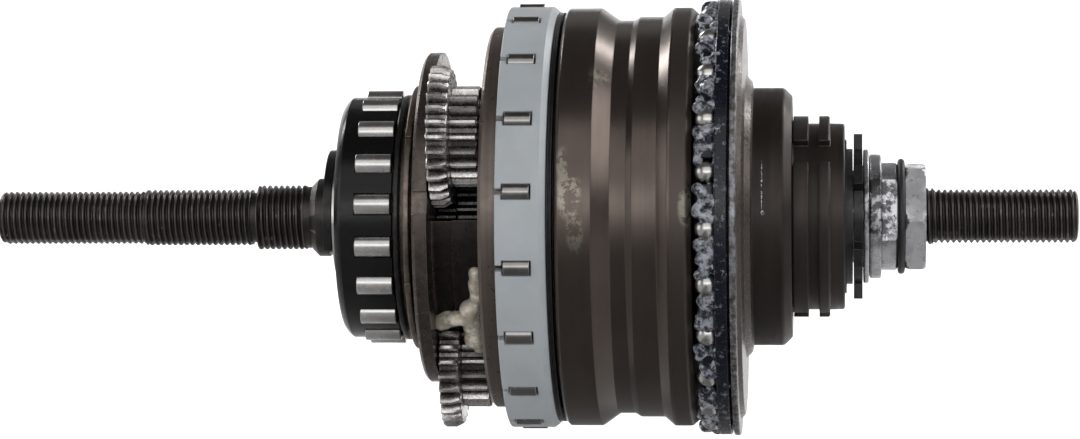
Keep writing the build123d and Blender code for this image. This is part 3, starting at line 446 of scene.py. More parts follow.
def scaled(colour, factor):
    return tuple(min(1.0, c * factor) for c in colour[:3])


def rgba(tone):
    """Opaque colour from a colour or a grey."""
    return (*tone[:3], 1.0) if hasattr(tone, "__len__") else (tone, tone, tone, 1.0)


class Finish:
    """A procedural material under construction, with a principled shader."""

    def __init__(self, name):
        self.material = bpy.data.materials.new(name)
        self.material.use_nodes = True
        self.tree = self.material.node_tree
        self.tree.nodes.clear()
        self.shader = self.node("ShaderNodeBsdfPrincipled")
        out = self.node("ShaderNodeOutputMaterial")
        self.join(self.shader.outputs["BSDF"], out.inputs["Surface"])
        self.place = self.node("ShaderNodeTexCoord").outputs["Object"]

    def node(self, kind, **settings):
        made = self.tree.nodes.new(kind)
        for key, value in settings.items():
            setattr(made, key, value)
        return made

    def join(self, source, target):
        self.tree.links.new(source, target)

    def feed(self, made, **values):
        """Sets or links a node's inputs by name."""
        for key, value in values.items():
            socket = made.inputs[key.replace("_", " ")]
            if isinstance(value, bpy.types.NodeSocket):
                self.join(value, socket)
            else:
                socket.default_value = value
        return made

    def noise(self, scale, detail=3.0, roughness=0.55, stretch=(1.0, 1.0, 1.0)):
        """Noise in the piece's own place, with its scale in features per millimetre."""
        mapping = self.feed(self.node("ShaderNodeMapping"), Vector=self.place,
                            Scale=[s * scale / MM for s in stretch])
        return self.feed(self.node("ShaderNodeTexNoise"), Vector=mapping.outputs["Vector"], Scale=1.0,
                         Detail=detail, Roughness=roughness).outputs["Fac"]

    def ramp(self, source, *stops):
        """Colours (or greys) by value. A stop is (place, colour)."""
        made = self.feed(self.node("ShaderNodeValToRGB"), Fac=source)
        elements = made.color_ramp.elements
        while len(elements) < len(stops):
            elements.new(0.5)
        for element, (where, colour) in zip(elements, stops):
            element.position = where
            element.color = rgba(colour)
        return made.outputs["Color"]

    def tones(self, source, base, *stops):
        """Strengths of one colour by value. A stop is (place, strength)."""
        return self.ramp(source, *((where, scaled(base, strength)) for where, strength in stops))

    def mix(self, amount, first, second, blend="MIX"):
        """Blend of two colours or sockets by a socket."""
        made = self.node("ShaderNodeMix", data_type="RGBA", blend_type=blend)
        for key, value in ((0, amount), (6, first), (7, second)):
            if isinstance(value, bpy.types.NodeSocket):
                self.join(value, made.inputs[key])
            else:
                made.inputs[key].default_value = value if key == 0 else rgba(value)
        return made.outputs[2]

    def edges(self, low, high):
        """White on outer edges, by the mesh's own pointiness."""
        point = self.node("ShaderNodeNewGeometry").outputs["Pointiness"]
        return self.ramp(point, (low, 0.0), (high, 1.0))

    def worn_and_highlit_edges(self, radius):
        """Normals rounded over sharp edges, and white where an edge is near: a mask for rubbed edges that
        also carry a painted edge highlight.
        """
        rounded = self.feed(self.node("ShaderNodeBevel", samples=6), Radius=radius * MM).outputs["Normal"]
        flat = self.node("ShaderNodeNewGeometry").outputs["Normal"]
        near = self.vector("DOT_PRODUCT", rounded, flat).outputs["Value"]
        return rounded, self.ramp(near, (0.86, 1.0), (0.97, 0.0))

    def vector(self, operation, first, second=None):
        """Vector arithmetic on sockets or plain vectors."""
        made = self.node("ShaderNodeVectorMath", operation=operation)
        self.join(first, made.inputs[0])
        if isinstance(second, bpy.types.NodeSocket):
            self.join(second, made.inputs[1])
        elif second:
            made.inputs[1].default_value = second
        return made

    def between(self, value, low, high):
        """Rise from 0 to 1 while a length goes from low to high, in millimetres."""
        made = self.node("ShaderNodeMapRange", interpolation_type="SMOOTHSTEP")
        return self.feed(made, Value=value, From_Min=low * MM, From_Max=high * MM).outputs["Result"]

    def along(self, low, high):
        """Rise from 0 to 1 along the axle."""
        parts = self.feed(self.node("ShaderNodeSeparateXYZ"), Vector=self.place)
        return self.between(parts.outputs["X"], low, high)

    def outward(self, low, high):
        """Rise from 0 to 1 with the distance from the axle."""
        flat = self.vector("MULTIPLY", self.place, (0.0, 1.0, 1.0)).outputs["Vector"]
        return self.between(self.vector("LENGTH", flat).outputs["Value"], low, high)

    def patch(self, centre, reach, grain, full, none):
        """Ragged patch round a point: white inside, black past its reach, in millimetres."""
        off = self.vector("SUBTRACT", self.place, [c * MM for c in centre]).outputs["Vector"]
        off = self.vector("DIVIDE", off, [c * MM for c in reach]).outputs["Vector"]
        inside = self.ramp(self.vector("LENGTH", off).outputs["Value"], (0.65, 1.0), (1.0, 0.0))
        ragged = self.ramp(self.noise(grain, 6.0, 0.75), (full, 1.0), (none, 0.0))
        return self.mix(1.0, inside, ragged, "MULTIPLY")

    def set(self, **values):
        self.feed(self.shader, **values)

    def colour(self, socket):
        self.set(Base_Color=socket)

    def gloss(self, source, smooth, rough, end=0.75):
        """Roughness that rises with a noise."""
        self.set(Roughness=self.ramp(source, (0.3, smooth), (end, rough)))

    def brushed(self, amount):
        """Highlights drawn out across turning marks."""
        tangent = self.node("ShaderNodeTangent", direction_type="RADIAL", axis="X")
        self.set(Anisotropic=amount, Tangent=tangent.outputs["Tangent"])

    def done(self, height, depth, strength, below=None, **values):
        """The material, once it has relief of a depth in millimetres and its last values."""
        made = self.feed(self.node("ShaderNodeBump"), Strength=strength, Distance=depth * MM, Height=height)
        if below:
            self.feed(made, Normal=below)
        self.set(Normal=made.outputs["Normal"], **values)
        return self.material


def plain(name, base, grain, tones, shine=None, gloss=(), relief=None, **values):
    """Finish whose colour and gloss drift. grain and shine are noises, and relief is a noise
    with its depth and strength behind it."""
    f = Finish(name)
    f.colour(f.tones(f.noise(*grain), base, (0.3, tones[0]), (0.7, tones[1])))
    if shine:
        f.gloss(f.noise(*shine), *gloss)
    f.set(**values)
    if relief:
        *height, depth, strength = relief
        f.done(f.noise(*height), depth, strength)
    return f.material


def ground_steel(name, base, rough):
    """Ground rollers and balls."""
    drift = (0.4, 3.0, 0.5)
    return plain(name, base, drift, (0.85, 1.05), drift, (rough * 0.85, rough * 1.25, 0.8),
                 (0.8, 2.0, 0.5, 0.001, 0.1), Metallic=1.0)


def polished_steel(looks):
    return ground_steel("polished_steel", looks.roller_steel, 0.26)


def oily_steel(looks):
    return ground_steel("oily_ground_steel", scaled(looks.roller_steel, 0.55), 0.24)


def spring_steel(looks):
    """Tempered spring steel, brown and a little shiny."""
    return plain("tempered_spring_steel", looks.spring_steel, (0.5, 5.0), (0.6, 1.3), (1.4, 4.0),
                 (0.3, 0.5), (4.0, 3.0, 0.01, 0.5), Metallic=1.0)


def bronze(looks):
    """Sintered bronze bush."""
    return plain("sintered_bronze", looks.bronze, (2.5, 5.0, 0.7), (0.6, 1.2), (1.0,),
                 (0.35, 0.55, 0.7), Metallic=1.0)


def rubber(looks):
    """Black rubber, a little greasy."""
    return plain("black_rubber", looks.rubber, (0.8, 4.0), (0.7, 1.6), (1.5, 4.0), (0.35, 0.6, 0.7),
                 (3.0, 4.0, 0.02, 0.5))


def pale_floor(looks):
    """Plain pale studio surface."""
    return plain("pale_floor", looks.floor, (0.02, 4.0), (0.99, 1.0), Roughness=0.9, Specular_IOR_Level=0.1)


def dark_card(looks):
    """Dull dark card."""
    return plain("dark_card", scaled(looks.floor, 0.35), (0.02,), (0.9, 1.0),
                 Roughness=1.0, Specular_IOR_Level=0.0)


def phosphate(looks):
    """Black phosphate on rolled threads, rubbed to brown on the crests."""
    f = Finish("black_phosphate")
    base = looks.phosphate
    tone = f.tones(f.noise(0.25, 4.0), base, (0.3, 0.55), (0.7, 1.5))
    f.colour(f.mix(f.edges(0.52, 0.6), tone, scaled(base, 4.5)))
    f.gloss(f.noise(1.5), 0.3, 0.5)
    return f.done(f.noise(6.0), 0.02, 0.5, Metallic=0.75)


def cam_steel(looks):
    """Dark heat-treated steel with fine turning marks and a thin uneven oil film."""
    f = Finish("cam_steel")
    normal, edge = f.worn_and_highlit_edges(0.2)
    base = scaled(looks.dark_steel, 0.6)
    tone = f.tones(f.noise(*TURNING), base, (0.25, 0.6), (0.5, 1.0), (0.8, 1.45))
    oil = f.ramp(f.noise(*OIL_CLOUDS), (0.45, 0.0), (0.75, 0.4))
    tone = f.mix(oil, tone, scaled(base, 1.9))
    # Lighter edges: painted highlight over the rubbed wear.
    f.colour(f.mix(edge, tone, scaled(base, 3.2)))
    f.gloss(f.noise(*OIL_STREAKS), 0.225, 0.45)
    f.brushed(0.3)
    return f.done(f.noise(*FINE_TURNING), 0.006, 0.6, normal, Metallic=1.0)


def drum_steel(looks):
    """Turned drum: its floor is a little shiny, its lands are dull, with smears of old grease."""
    f = Finish("oiled_drum_steel")
    normal, edge = f.worn_and_highlit_edges(0.25)
    base = scaled(looks.dark_steel, 1.05)
    tone = f.tones(f.noise(*TURNING), base, (0.25, 0.85), (0.5, 1.0), (0.8, 1.15))
    cloud = f.ramp(f.noise(*OIL_CLOUDS), (0.35, 0.0), (0.75, 0.5))
    tone = f.mix(cloud, tone, scaled(base, 1.5))
    land = f.mix(f.along(DRUM_DULL_X, DRUM_DULL_X + 0.3),
                 f.outward(DRUM_LAND_R - 0.6, DRUM_LAND_R - 0.2), 0.8)
    tone = f.mix(land, tone, scaled(base, 0.62))
    for centre, reach in DRUM_SMEARS:
        tone = f.mix(f.patch(centre, reach, 0.38, 0.48, 0.54), tone, scaled(looks.beige_grease, 0.22))
    # Lighter edges: painted highlight on the turned edges, over rubbed wear.
    f.colour(f.mix(edge, tone, scaled(base, 1.9)))
    f.set(Metallic=f.mix(land, 0.85, 0.6), Roughness=f.mix(land, 0.24, 0.4))
    f.brushed(0.3)
    return f.done(f.noise(*FINE_TURNING), 0.004, 0.5, normal)


def driver_steel(looks):
    """Black-brown driver with rubbed edges lightened as a painted highlight, and a dashed scratch."""
    f = Finish("driver_steel")
    normal, edge = f.worn_and_highlit_edges(0.3)
    base = scaled(looks.dark_steel, 0.42)
    tone = f.tones(f.noise(0.4, 5.0, 0.65, (1.0, 0.1, 0.1)), base, (0.3, 0.7), (0.7, 1.3))
    for centre, reach in DRIVER_SCRATCHES:
        tone = f.mix(f.patch(centre, reach, 2.0, 0.5, 0.54), tone, (0.5, 0.5, 0.55))
    # Edges in a pale neutral tone: painted highlight over the rubbed wear.
    f.colour(f.mix(edge, tone, scaled(looks.roller_steel, 0.17)))
    f.gloss(f.noise(*OIL_STREAKS), 0.34, 0.5)
    return f.done(f.noise(2.0, 3.0, 0.6, (1.0, 0.05, 0.05)), 0.006, 0.5, normal,
                  Metallic=0.6, Specular_IOR_Level=0.3)


def carrier_steel(looks):
    """Planet carrier: oily brown flange, with its posts and recesses darkened as painted shade."""
    f = Finish("carrier_steel")
    normal, edge = f.worn_and_highlit_edges(0.25)
    dark = looks.dark_steel
    # Flange at full tone, everything right of it at about a third: painted shade on the posts and recesses.
    flange_and_shaded_posts = f.mix(f.along(CARRIER_FLANGE_X, CARRIER_FLANGE_X + 0.4), scaled(dark, 1.25), scaled(dark, 0.36))
    blotch = f.ramp(f.noise(0.5, 5.0, 0.65), (0.35, 0.55), (0.7, 1.0))
    # Lighter edges: painted highlight over the rubbed wear.
    f.colour(f.mix(edge, f.mix(1.0, flange_and_shaded_posts, blotch, "MULTIPLY"), scaled(dark, 2.6)))
    f.gloss(f.noise(0.8, 4.0), 0.22, 0.42)
    return f.done(f.noise(3.0, 3.0), 0.01, 0.5, normal, Metallic=0.7)


def ring_gear_steel(looks):
    """Brown turned rim of the ring gear."""
    f = Finish("ring_gear_steel")
    normal, edge = f.worn_and_highlit_edges(0.2)
    base = scaled(looks.dark_steel, 1.7)
    tone = f.tones(f.noise(*TURNING), base, (0.25, 0.7), (0.75, 1.2))
    # Lighter edges: painted highlight over the rubbed wear.
    f.colour(f.mix(edge, tone, scaled(base, 1.6)))
    f.gloss(f.noise(0.8, 4.0), 0.25, 0.45)
    return f.done(f.noise(*FINE_TURNING), 0.004, 0.5, normal, Metallic=0.6)


def gear_steel(name, base, packed=False):
    """Gear steel, pitted and rubbed, with painted shade in the hollows of a finely meshed gear."""
    f = Finish(name)
    normal, edge = f.worn_and_highlit_edges(0.12) if packed else (None, f.edges(0.52, 0.6))
    tone = f.tones(f.noise(1.1, 5.0, 0.7), base, (0.3, 0.5), (0.55, 1.0), (0.8, 1.5))
    pits = f.ramp(f.noise(3.5, 4.0, 0.7), (0.36, 1.0), (0.44, 0.0))
    tone = f.mix(pits, tone, scaled(base, 0.3))
    if not packed:
        # Painted shade: the concave tooth roots darkened by pointiness.
        hollows = f.node("ShaderNodeNewGeometry").outputs["Pointiness"]
        tone = f.mix(f.ramp(hollows, (0.42, 1.0), (0.5, 0.0)), tone, scaled(base, 0.12))
    # Lighter edges: rubbed wear; on imported gears the mask also paints an edge highlight.
    f.colour(f.mix(edge, tone, scaled(base, 1.9)))
    f.gloss(f.noise(2.0, 4.0), 0.18, 0.45)
    return f.done(f.noise(2.4, 5.0, 0.7), 0.05, 0.8, normal, Metallic=1.0)


def worn_gear_steel(looks):
    return gear_steel("worn_gear_steel", looks.gear_steel)


def shaded_packed_gear_steel(looks):
    # Gear steel at a fifth of its tone: painted shade on the suns, pawls and reduction gears deep inside,
    # which are also oily.
    return gear_steel("shaded_packed_gear_steel", scaled(looks.gear_steel, 0.2), packed=True)


def black_plastic(looks):
    """Glossy moulded black plastic with faint dust and scuffs."""
    f = Finish("glossy_black_plastic")
    base = looks.black_plastic
    dust = f.ramp(f.noise(2.2, 6.0, 0.75), (0.66, 0.0), (0.78, 0.5))
    f.colour(f.mix(dust, base, scaled(base, 9.0)))
    f.gloss(f.noise(0.7, 5.0, 0.65), 0.16, 0.3)
    return f.done(f.noise(1.0, 4.0), 0.02, 0.4, Specular_IOR_Level=0.22)


def grey_plastic(looks):
    """Satin light grey moulded plastic."""
    f = Finish("satin_grey_plastic")
    base = looks.grey_plastic
    tone = f.tones(f.noise(0.15, 4.0), base, (0.3, 0.93), (0.7, 1.05))
    specks = f.ramp(f.noise(1.6, 5.0, 0.7), (0.3, 1.0), (0.34, 0.0))
    f.colour(f.mix(specks, tone, scaled(base, 0.7)))
    f.gloss(f.noise(0.8, 4.0), 0.36, 0.5)
    return f.done(f.noise(7.0, 3.0), 0.008, 0.5, Subsurface_Weight=0.1, Subsurface_Scale=0.4 * MM)


def black_steel(looks):
    """Black oxide steel with rubbed edges lightened as a painted highlight."""
    f = Finish("black_oxide_steel")
    base = looks.black_steel
    normal, edge = f.worn_and_highlit_edges(0.12)
    tone = f.tones(f.noise(0.6, 5.0), base, (0.3, 0.6), (0.75, 1.6))
    # Edges six times lighter: painted highlight over the rubbed wear.
    f.colour(f.mix(edge, tone, scaled(base, 6.0)))
    f.gloss(f.noise(1.4, 4.0), 0.26, 0.45)
    return f.done(f.noise(4.0, 3.0), 0.01, 0.5, normal, Metallic=0.6)


def bright_plating(looks):
    """Bright plating with dull patches, stains and wet dirt near the washer."""
    f = Finish("bright_plating")
    base = looks.plating
    dull = f.ramp(f.noise(0.3, 6.0, 0.65), (0.44, 0.0), (0.62, 1.0))
    stains = f.ramp(f.noise(0.55, 7.0, 0.7), (0.34, 0.8), (0.42, 0.0))
    tone = f.mix(dull, base, scaled(base, 0.72))
    tone = f.mix(stains, tone, scaled(base, 0.4))
    f.colour(f.mix(f.patch(*PLATING_DIRT, 0.5, 0.48, 0.56), tone, scaled(base, 0.14)))
    f.set(Roughness=f.mix(dull, 0.24, 0.42))
    return f.done(f.noise(0.6, 4.0, 0.6), 0.03, 0.4, Metallic=0.8)


def grease(name, base, shadow, scale):
    """Wet grease: cloudy and glossy, with painted shade and painted highlights mottled over it by a noise."""
    f = Finish(name)
    # Dark stop is painted shade and the 1.5 times stop a painted highlight, as on a crinkled film.
    f.colour(f.ramp(f.noise(scale, 6.0, 0.7), (0.45, shadow), (0.54, base), (0.66, scaled(base, 1.5))))
    f.gloss(f.noise(1.3, 4.0), 0.1, 0.3)
    return f.done(f.noise(1.0, 4.0, 0.6), 0.12, 0.5, Subsurface_Weight=0.35,
                  Subsurface_Scale=0.8 * MM, Coat_Weight=0.6, Coat_Roughness=0.08)


def old_grease(looks):
    base = looks.beige_grease
    return grease("old_grease", base, scaled(base, 0.6), 0.4)


def wet_grease(looks):
    return grease("wet_grease", scaled(looks.blue_grease, 0.7), looks.wet_grease_shade, 0.8)


def wet_black_and_shade(looks):
    """Blued steel under a film of dark wet grease, near black also as painted shade of the gap between the
    balls and the cap's lip, with paler smears.
    """
    f = Finish("wet_blued_steel_and_shade")
    smear = f.ramp(f.noise(0.8, 6.0, 0.75), (0.56, 0.0), (0.66, 0.5))
    f.colour(f.mix(smear, looks.wet_black_and_shade, looks.blue_grease))
    f.gloss(f.noise(1.3, 4.0), 0.15, 0.4)
    return f.done(f.noise(1.2, 5.0, 0.7), 0.08, 0.7, Coat_Weight=0.15, Coat_Roughness=0.08,
                  Specular_IOR_Level=0.25)


def greasy_steel(looks):
    """Dark steel with a cloudy film of grease on its lip."""
    f = Finish("greasy_steel")
    film = f.ramp(f.noise(0.7, 6.0, 0.75), (0.42, 0.0), (0.6, 0.8))
    film = f.mix(f.along(CAP_LIP_END - 0.2, CAP_LIP_END + 0.1), film, 0.0)
    f.colour(f.mix(film, scaled(looks.dark_steel, 0.9), scaled(looks.blue_grease, 0.8)))
    f.gloss(f.noise(1.3, 4.0), 0.2, 0.45)
    return f.done(f.noise(1.4, 5.0, 0.7), 0.04, 0.5, Metallic=0.6)


def colour(name, description, default):
    return FloatVectorProperty(name=name, description=description, default=default, size=3,
                               min=0.0, max=1.0, subtype="COLOR")


def length(name, description, default, low, high):
    return FloatProperty(name=name, description=description, default=default, min=low, max=high,
                         precision=5, unit="LENGTH")


class HubColours(bpy.types.PropertyGroup):
    """Colours of the hub's finishes, as linear light."""

    phosphate: colour("Phosphate", "Black phosphate of the axle", (0.035, 0.031, 0.029))
    dark_steel: colour("Dark steel", "Turned, heat-treated steel", (0.075, 0.060, 0.052))
    gear_steel: colour("Gear steel", "Worn bright gear teeth", (0.36, 0.345, 0.335))
    roller_steel: colour("Roller steel", "Ground rollers and balls", (0.5, 0.49, 0.48))
    black_steel: colour("Black steel", "Oxide finish of rings and clips", (0.018, 0.017, 0.018))
    spring_steel: colour("Spring steel", "Ring spring of the left clutch", (0.17, 0.14, 0.12))
    black_plastic: colour("Black plastic", "Cage of the left clutch", (0.004, 0.004, 0.0045))
    grey_plastic: colour("Grey plastic", "Cage of the middle clutch", (0.4, 0.43, 0.455))
    plating: colour("Plating", "Bright cone and lock nut", (0.46, 0.46, 0.48))
    # Near black: dark wet grease on blued steel, and painted shade of the gap between balls and lip.
    wet_black_and_shade: colour("Wet black", "Retainer band under dark grease", (0.004, 0.005, 0.011))
    rubber: colour("Rubber", "Seal and ring", (0.012, 0.012, 0.012))
    bronze: colour("Bronze", "Bushes", (0.5, 0.36, 0.2))
    beige_grease: colour("Old grease", "Grease on the gears", (0.82, 0.75, 0.62))
    blue_grease: colour("Wet grease", "Grease on the ball ring", (0.36, 0.38, 0.43))
    # Dark navy of the wet grease's mottling: painted shade.
    wet_grease_shade: colour("Steel dust", "Dark streaks in the wet grease", (0.014, 0.017, 0.03))
    floor: colour("Floor", "Studio floor and backdrop", (0.62, 0.62, 0.62))


class HubSizes(bpy.types.PropertyGroup):
    """Sizes of the detail that only the looks have."""

    pitch: length("Thread pitch", "Distance from crest to crest of the axle's threads", 0.001, 0.0005, 0.002)
    thread_depth: length("Thread depth", "Depth of the axle's threads", 0.0005, 0.0001, 0.001)
    edge: length("Edge rounding", "Rounding of turned and moulded edges", 0.00015, 0.0, 0.0005)
    blob: length("Grease lump", "Size of the grease lumps on the ball ring", 0.0012, 0.0003, 0.002)
    seed: IntProperty(name="Grease seed", description="Seed of the grease's random lumps", default=7, min=0)


FINISHES = {}
MATERIALS = (
    phosphate, drum_steel, driver_steel, carrier_steel, ring_gear_steel, cam_steel, worn_gear_steel,
    shaded_packed_gear_steel, polished_steel, oily_steel, black_steel, spring_steel, bright_plating, bronze,
    black_plastic, grey_plastic, rubber, old_grease, wet_grease, wet_black_and_shade, greasy_steel, pale_floor,
    dark_card,
)


def finishes():
    """Every material of the hub by its function's name, made once."""
    if not FINISHES:
        looks = bpy.context.scene.hub_colours
        FINISHES.update((make.__name__, make(looks)) for make in MATERIALS)
    return FINISHES


class HUB_OT_stage(bpy.types.Operator):
    """Pale floor with a curved backdrop, soft lights and the camera"""

    bl_idname = "hub.stage"
    bl_label = "Stage"

    FLOOR_Z = -0.09
    FLAT_R = 1.3
    WALL_R = 1.9
    WALL_TOP = 0.75
    BEND_STEPS = 12
    CARD = (-0.035, 0.045, -0.36, 0.25)
    CARD_LIFT = 0.004

    def execute(self, context):
        self.backdrop()
        self.dark_card()
        self.lights(context)
        self.camera(context)
        context.scene.view_settings.view_transform = "Standard"
        context.scene.view_settings.look = "None"
        return {"FINISHED"}

    def scenery(self, name, verts, faces, finish):
        """Object of the stage, with its corners in metres."""
        mesh = bpy.data.meshes.new(name)
        mesh.from_pydata(verts, [], faces)
        mesh.materials.append(finishes()[finish])
        obj = bpy.data.objects.new(name, mesh)
        bpy.context.scene.collection.objects.link(obj)
        return obj

    def backdrop(self):
        """Round floor that curves up into a low wall on every side."""
        profile = [(0.01, self.FLOOR_Z), (self.FLAT_R, self.FLOOR_Z)]
        bend = self.WALL_R - self.FLAT_R
        for k in range(1, self.BEND_STEPS + 1):
            a = math.pi / 2 * k / self.BEND_STEPS
            profile.append((self.FLAT_R + bend * math.sin(a), self.FLOOR_Z + bend * (1 - math.cos(a))))
        profile.append((self.WALL_R, self.WALL_TOP))
        angles = evenly(0.0, 96)
        verts = [(x, y, z) for r, z in profile for _, x, y in circle(0.0, r, angles)]
        faces = [tuple(reversed(range(len(angles))))] + skin(len(profile), len(angles), False)
        floor = self.scenery("studio_floor", verts, faces, "pale_floor")
        floor.data.polygons.foreach_set("use_smooth", [True] * len(faces))

    def dark_card(self):
        """Card on the floor that only reflections see. It gives bright metal its dark lower side."""
        left, right, near, far = self.CARD
        z = self.FLOOR_Z + self.CARD_LIFT
        corners = [(left, near, z), (right, near, z), (right, far, z), (left, far, z)]
        card = self.scenery("dark_card", corners, [(0, 1, 2, 3)], "dark_card")
        card.visible_camera = False
        card.visible_diffuse = False
        card.visible_shadow = False

    def lights(self, context):
        world = bpy.data.worlds.new("soft_room")
        world.use_nodes = True
        room = world.node_tree.nodes["Background"]
        room.inputs["Color"].default_value = (1.0, 0.96, 0.93, 1.0)
        room.inputs["Strength"].default_value = 0.1
        context.scene.world = world
        hub, back_left, back_right = (0.0, 0.0, 0.0), (-0.2, 1.8, 0.0), (0.2, 1.8, 0.0)
        # name, place, aim, size across, size up, power
        panels = [
            ("front_panel", (0.1, -1.13, 0.53), hub, 1.8, 1.3, 8.0),
            ("front_strip", (0.1, -1.19, 0.17), hub, 1.8, 0.3, 2.0),
            ("right_panel", (1.2, -0.15, 0.68), hub, 0.8, 0.85, 7.0),
            ("left_panel", (-1.3, -0.3, 0.25), hub, 0.9, 0.8, 3.0),
            ("back_panel", (0.0, 1.15, 1.05), hub, 1.8, 0.6, 0.8),
            ("left_backdrop_lamp", (-0.9, 0.75, 0.85), back_left, 0.8, 0.5, 24.0),
            ("right_backdrop_lamp", (0.9, 0.75, 0.85), back_right, 0.8, 0.5, 24.0),
        ]
        for name, place, aim, across, up, power in panels:
            lamp = bpy.data.lights.new(name, "AREA")
            lamp.shape = "RECTANGLE"
            lamp.size, lamp.size_y, lamp.energy = across, up, power
            obj = bpy.data.objects.new(name, lamp)
            obj.location = place
            obj.rotation_euler = (Vector(aim) - Vector(place)).to_track_quat("-Z", "Y").to_euler()
            obj.visible_camera = False
            context.scene.collection.objects.link(obj)

    def camera(self, context):
        data = bpy.data.cameras.new("photo_camera")
        data.lens = LENS
        data.sensor_width = 36.0
        data.sensor_fit = "HORIZONTAL"
        data.clip_start = 0.01
        yaw = math.radians(CAMERA_YAW)
        target = Vector(CAMERA_TARGET)
        obj = bpy.data.objects.new("photo_camera", data)
        obj.location = target + Vector((math.sin(yaw), -math.cos(yaw), 0.0)) * CAMERA_DISTANCE
        obj.rotation_euler = (target - obj.location).to_track_quat("-Z", "Y").to_euler()
        obj.rotation_euler.rotate_axis("Z", math.radians(CAMERA_ROLL))
        context.scene.collection.objects.link(obj)
        context.scene.camera = obj


class HUB_OT_axle(bpy.types.Operator):
    """Axle with its rolled threads, flatted stubs and centre holes"""

    bl_idname = "hub.axle"
    bl_label = "Axle"

    ROUND_R, STUB_R, THICK_R, GROOVE_R = 4.7625, 4.5625, 5.5, 5.0
    FLAT = 4.25              # half the width over the flats
    FLAT_ANGLE = 13.0        # how far the flats are turned
    SMOOTH_DROP = 0.25       # how far the smooth part lies under the thick thread
    LEFT_FLATS_W = 25.5
    THICK_X = 45.0           # start of the thick thread, from the left end
    SEAT_END = 11.55
    UNDERCUT = 1.2
    NUT_THREAD = 6.0         # length of thread inside the lock nut
    RIGHT_ROUND = 1.3        # round thread past the lock nut
    TIP = 1.25               # rounding of the axle's ends
    HOLE_R, HOLE_TIP, HOLE_DEPTH = 1.3, 0.12, 1.1
    STEPS_IN_PITCH = 9
    CREST, FLANKS = 0.14, 0.76    # shares of half a pitch

    def execute(self, context):
        sizes = context.scene.hub_sizes
        shape = self.solid(sizes.pitch / MM, sizes.thread_depth / MM)
        make_piece("axle_threads", shape, "axle", "phosphate", ["axle"], smooth=38.0)
        return {"FINISHED"}

    def rows(self, left, right, seat_r, pitch, depth):
        """(x, radius, thread depth, flats) of each ring of points along the axle."""
        collar_x = span("left_collar")[0] - self.UNDERCUT
        clip_x, clip_end = span("left_clip")[:2]
        nut_end = span("right_lock_nut")[1]
        left_flats, right_flats = left + self.LEFT_FLATS_W, nut_end + self.RIGHT_ROUND
        thick_x, nut_x = left + self.THICK_X, nut_end - self.NUT_THREAD
        # start, end, radius, threaded, flats
        runs = [
            (left, left_flats, self.STUB_R, True, True),
            (left_flats, thick_x - self.UNDERCUT, self.ROUND_R, True, False),
            (thick_x - self.UNDERCUT, thick_x, self.ROUND_R - depth, False, False),
            (thick_x, collar_x, self.THICK_R, True, False),
            (collar_x, clip_x, self.THICK_R - self.SMOOTH_DROP, False, False),
            (clip_x, clip_end, self.GROOVE_R, False, False),
            (clip_end, self.SEAT_END, seat_r, False, False),
            (self.SEAT_END, nut_x, self.ROUND_R, False, False),
            (nut_x, right_flats, self.ROUND_R, True, False),
            (right_flats, right, self.STUB_R, True, True),
        ]
        for start, end, radius, threaded, flats in runs:
            count = max(1, round((end - start) / pitch * self.STEPS_IN_PITCH)) if threaded else 1
            for k in range(count + 1):
                x = start + (end - start) * k / count
                fade = smoothstep(min(x - start, end - x) / pitch + 0.25) if threaded else 0.0
                yield x, radius, depth * fade, flats

    def thread_relief(self, x, angle, depth, pitch):
        """How far a rolled thread lies under its crest, with a round crest and root."""
        phase = (x / pitch - angle / 360.0) % 1.0
        return depth * smoothstep((abs(2 * phase - 1) - self.CREST) / self.FLANKS)

    def solid(self, pitch, depth):
        """The whole axle as one run of rings."""
        left, right, seat_r = span("axle")
        corner = math.degrees(math.acos(self.FLAT / self.STUB_R))
        angles = marks_between(either_side((90 - self.FLAT_ANGLE, 270 - self.FLAT_ANGLE), corner), 4.0)
        _, c, s = at(1.0, -self.FLAT_ANGLE)
        end_r = self.STUB_R - self.TIP
        hole = ((self.HOLE_DEPTH, self.HOLE_TIP), (0.0, self.HOLE_R), (0.0, end_r))
        verts = [point for inset, r in hole for point in circle(left + inset, r, angles)]
        for x, radius, relief, flats in self.rows(left, right, seat_r, pitch, depth):
            reach = min(x - left, right - x)
            limit = end_r + math.sqrt(max(0.0, self.TIP ** 2 - max(0.0, self.TIP - reach) ** 2))
            for angle in angles:
                r = radius - self.thread_relief(x, angle, relief, pitch)
                _, y, z = at(min(r, limit) if reach < self.TIP else r, angle)
                if flats:
                    across, up = y * c + z * s, -y * s + z * c
                    up = min(max(up, -self.FLAT), self.FLAT)
                    y, z = across * c - up * s, across * s + up * c
                verts.append((x, y, z))
        verts += [point for inset, r in reversed(hole) for point in circle(right - inset, r, angles)]
        return Shape(verts, skin(len(verts) // len(angles), len(angles), True))


class HUB_OT_left_stack(bpy.types.Operator):
    """Collar, clip plate and washers on the left of the axle"""

    bl_idname = "hub.left_stack"
    bl_label = "Left collar and clip"

    BORE = 5.54
    CHAMFER = 1.1

    def execute(self, context):
        x0, x1, r = span("left_collar")
        turned("left_collar_turned", "left_collar", "axle", "phosphate",
               [(x0, self.BORE), (x0, r - self.CHAMFER), (x0 + self.CHAMFER, r), (x1, r), (x1, self.BORE)],
               rounding() * 1.6)
        keep_nodes("black_steel", "left_clip")
        keep_nodes("polished_steel", "left_side_washer", "left_spacer")
        return {"FINISHED"}


def rollers(name, node, body, finish, radius, orbit, first):
    """Ground rollers with rounded ends, evenly round the axle."""
    x0, x1 = span(node)[:2]
    one = lathe([(x0, 0.25), (x0, radius), (x1, radius), (x1, 0.25)], 0.16, closed=False, steps=48)
    shape = Shape()
    for angle in evenly(first, ROLLERS):
        shape.add(*one, shift=at(orbit, angle))
    make_piece(name, shape, body, finish, [node])


def pocket_half(cage_r, roller_r, orbit):
    """Half the angle of a cage's window round a roller."""
    reach = math.sqrt(roller_r ** 2 - (cage_r - orbit) ** 2) + POCKET_PLAY
    return math.degrees(math.asin(reach / cage_r))


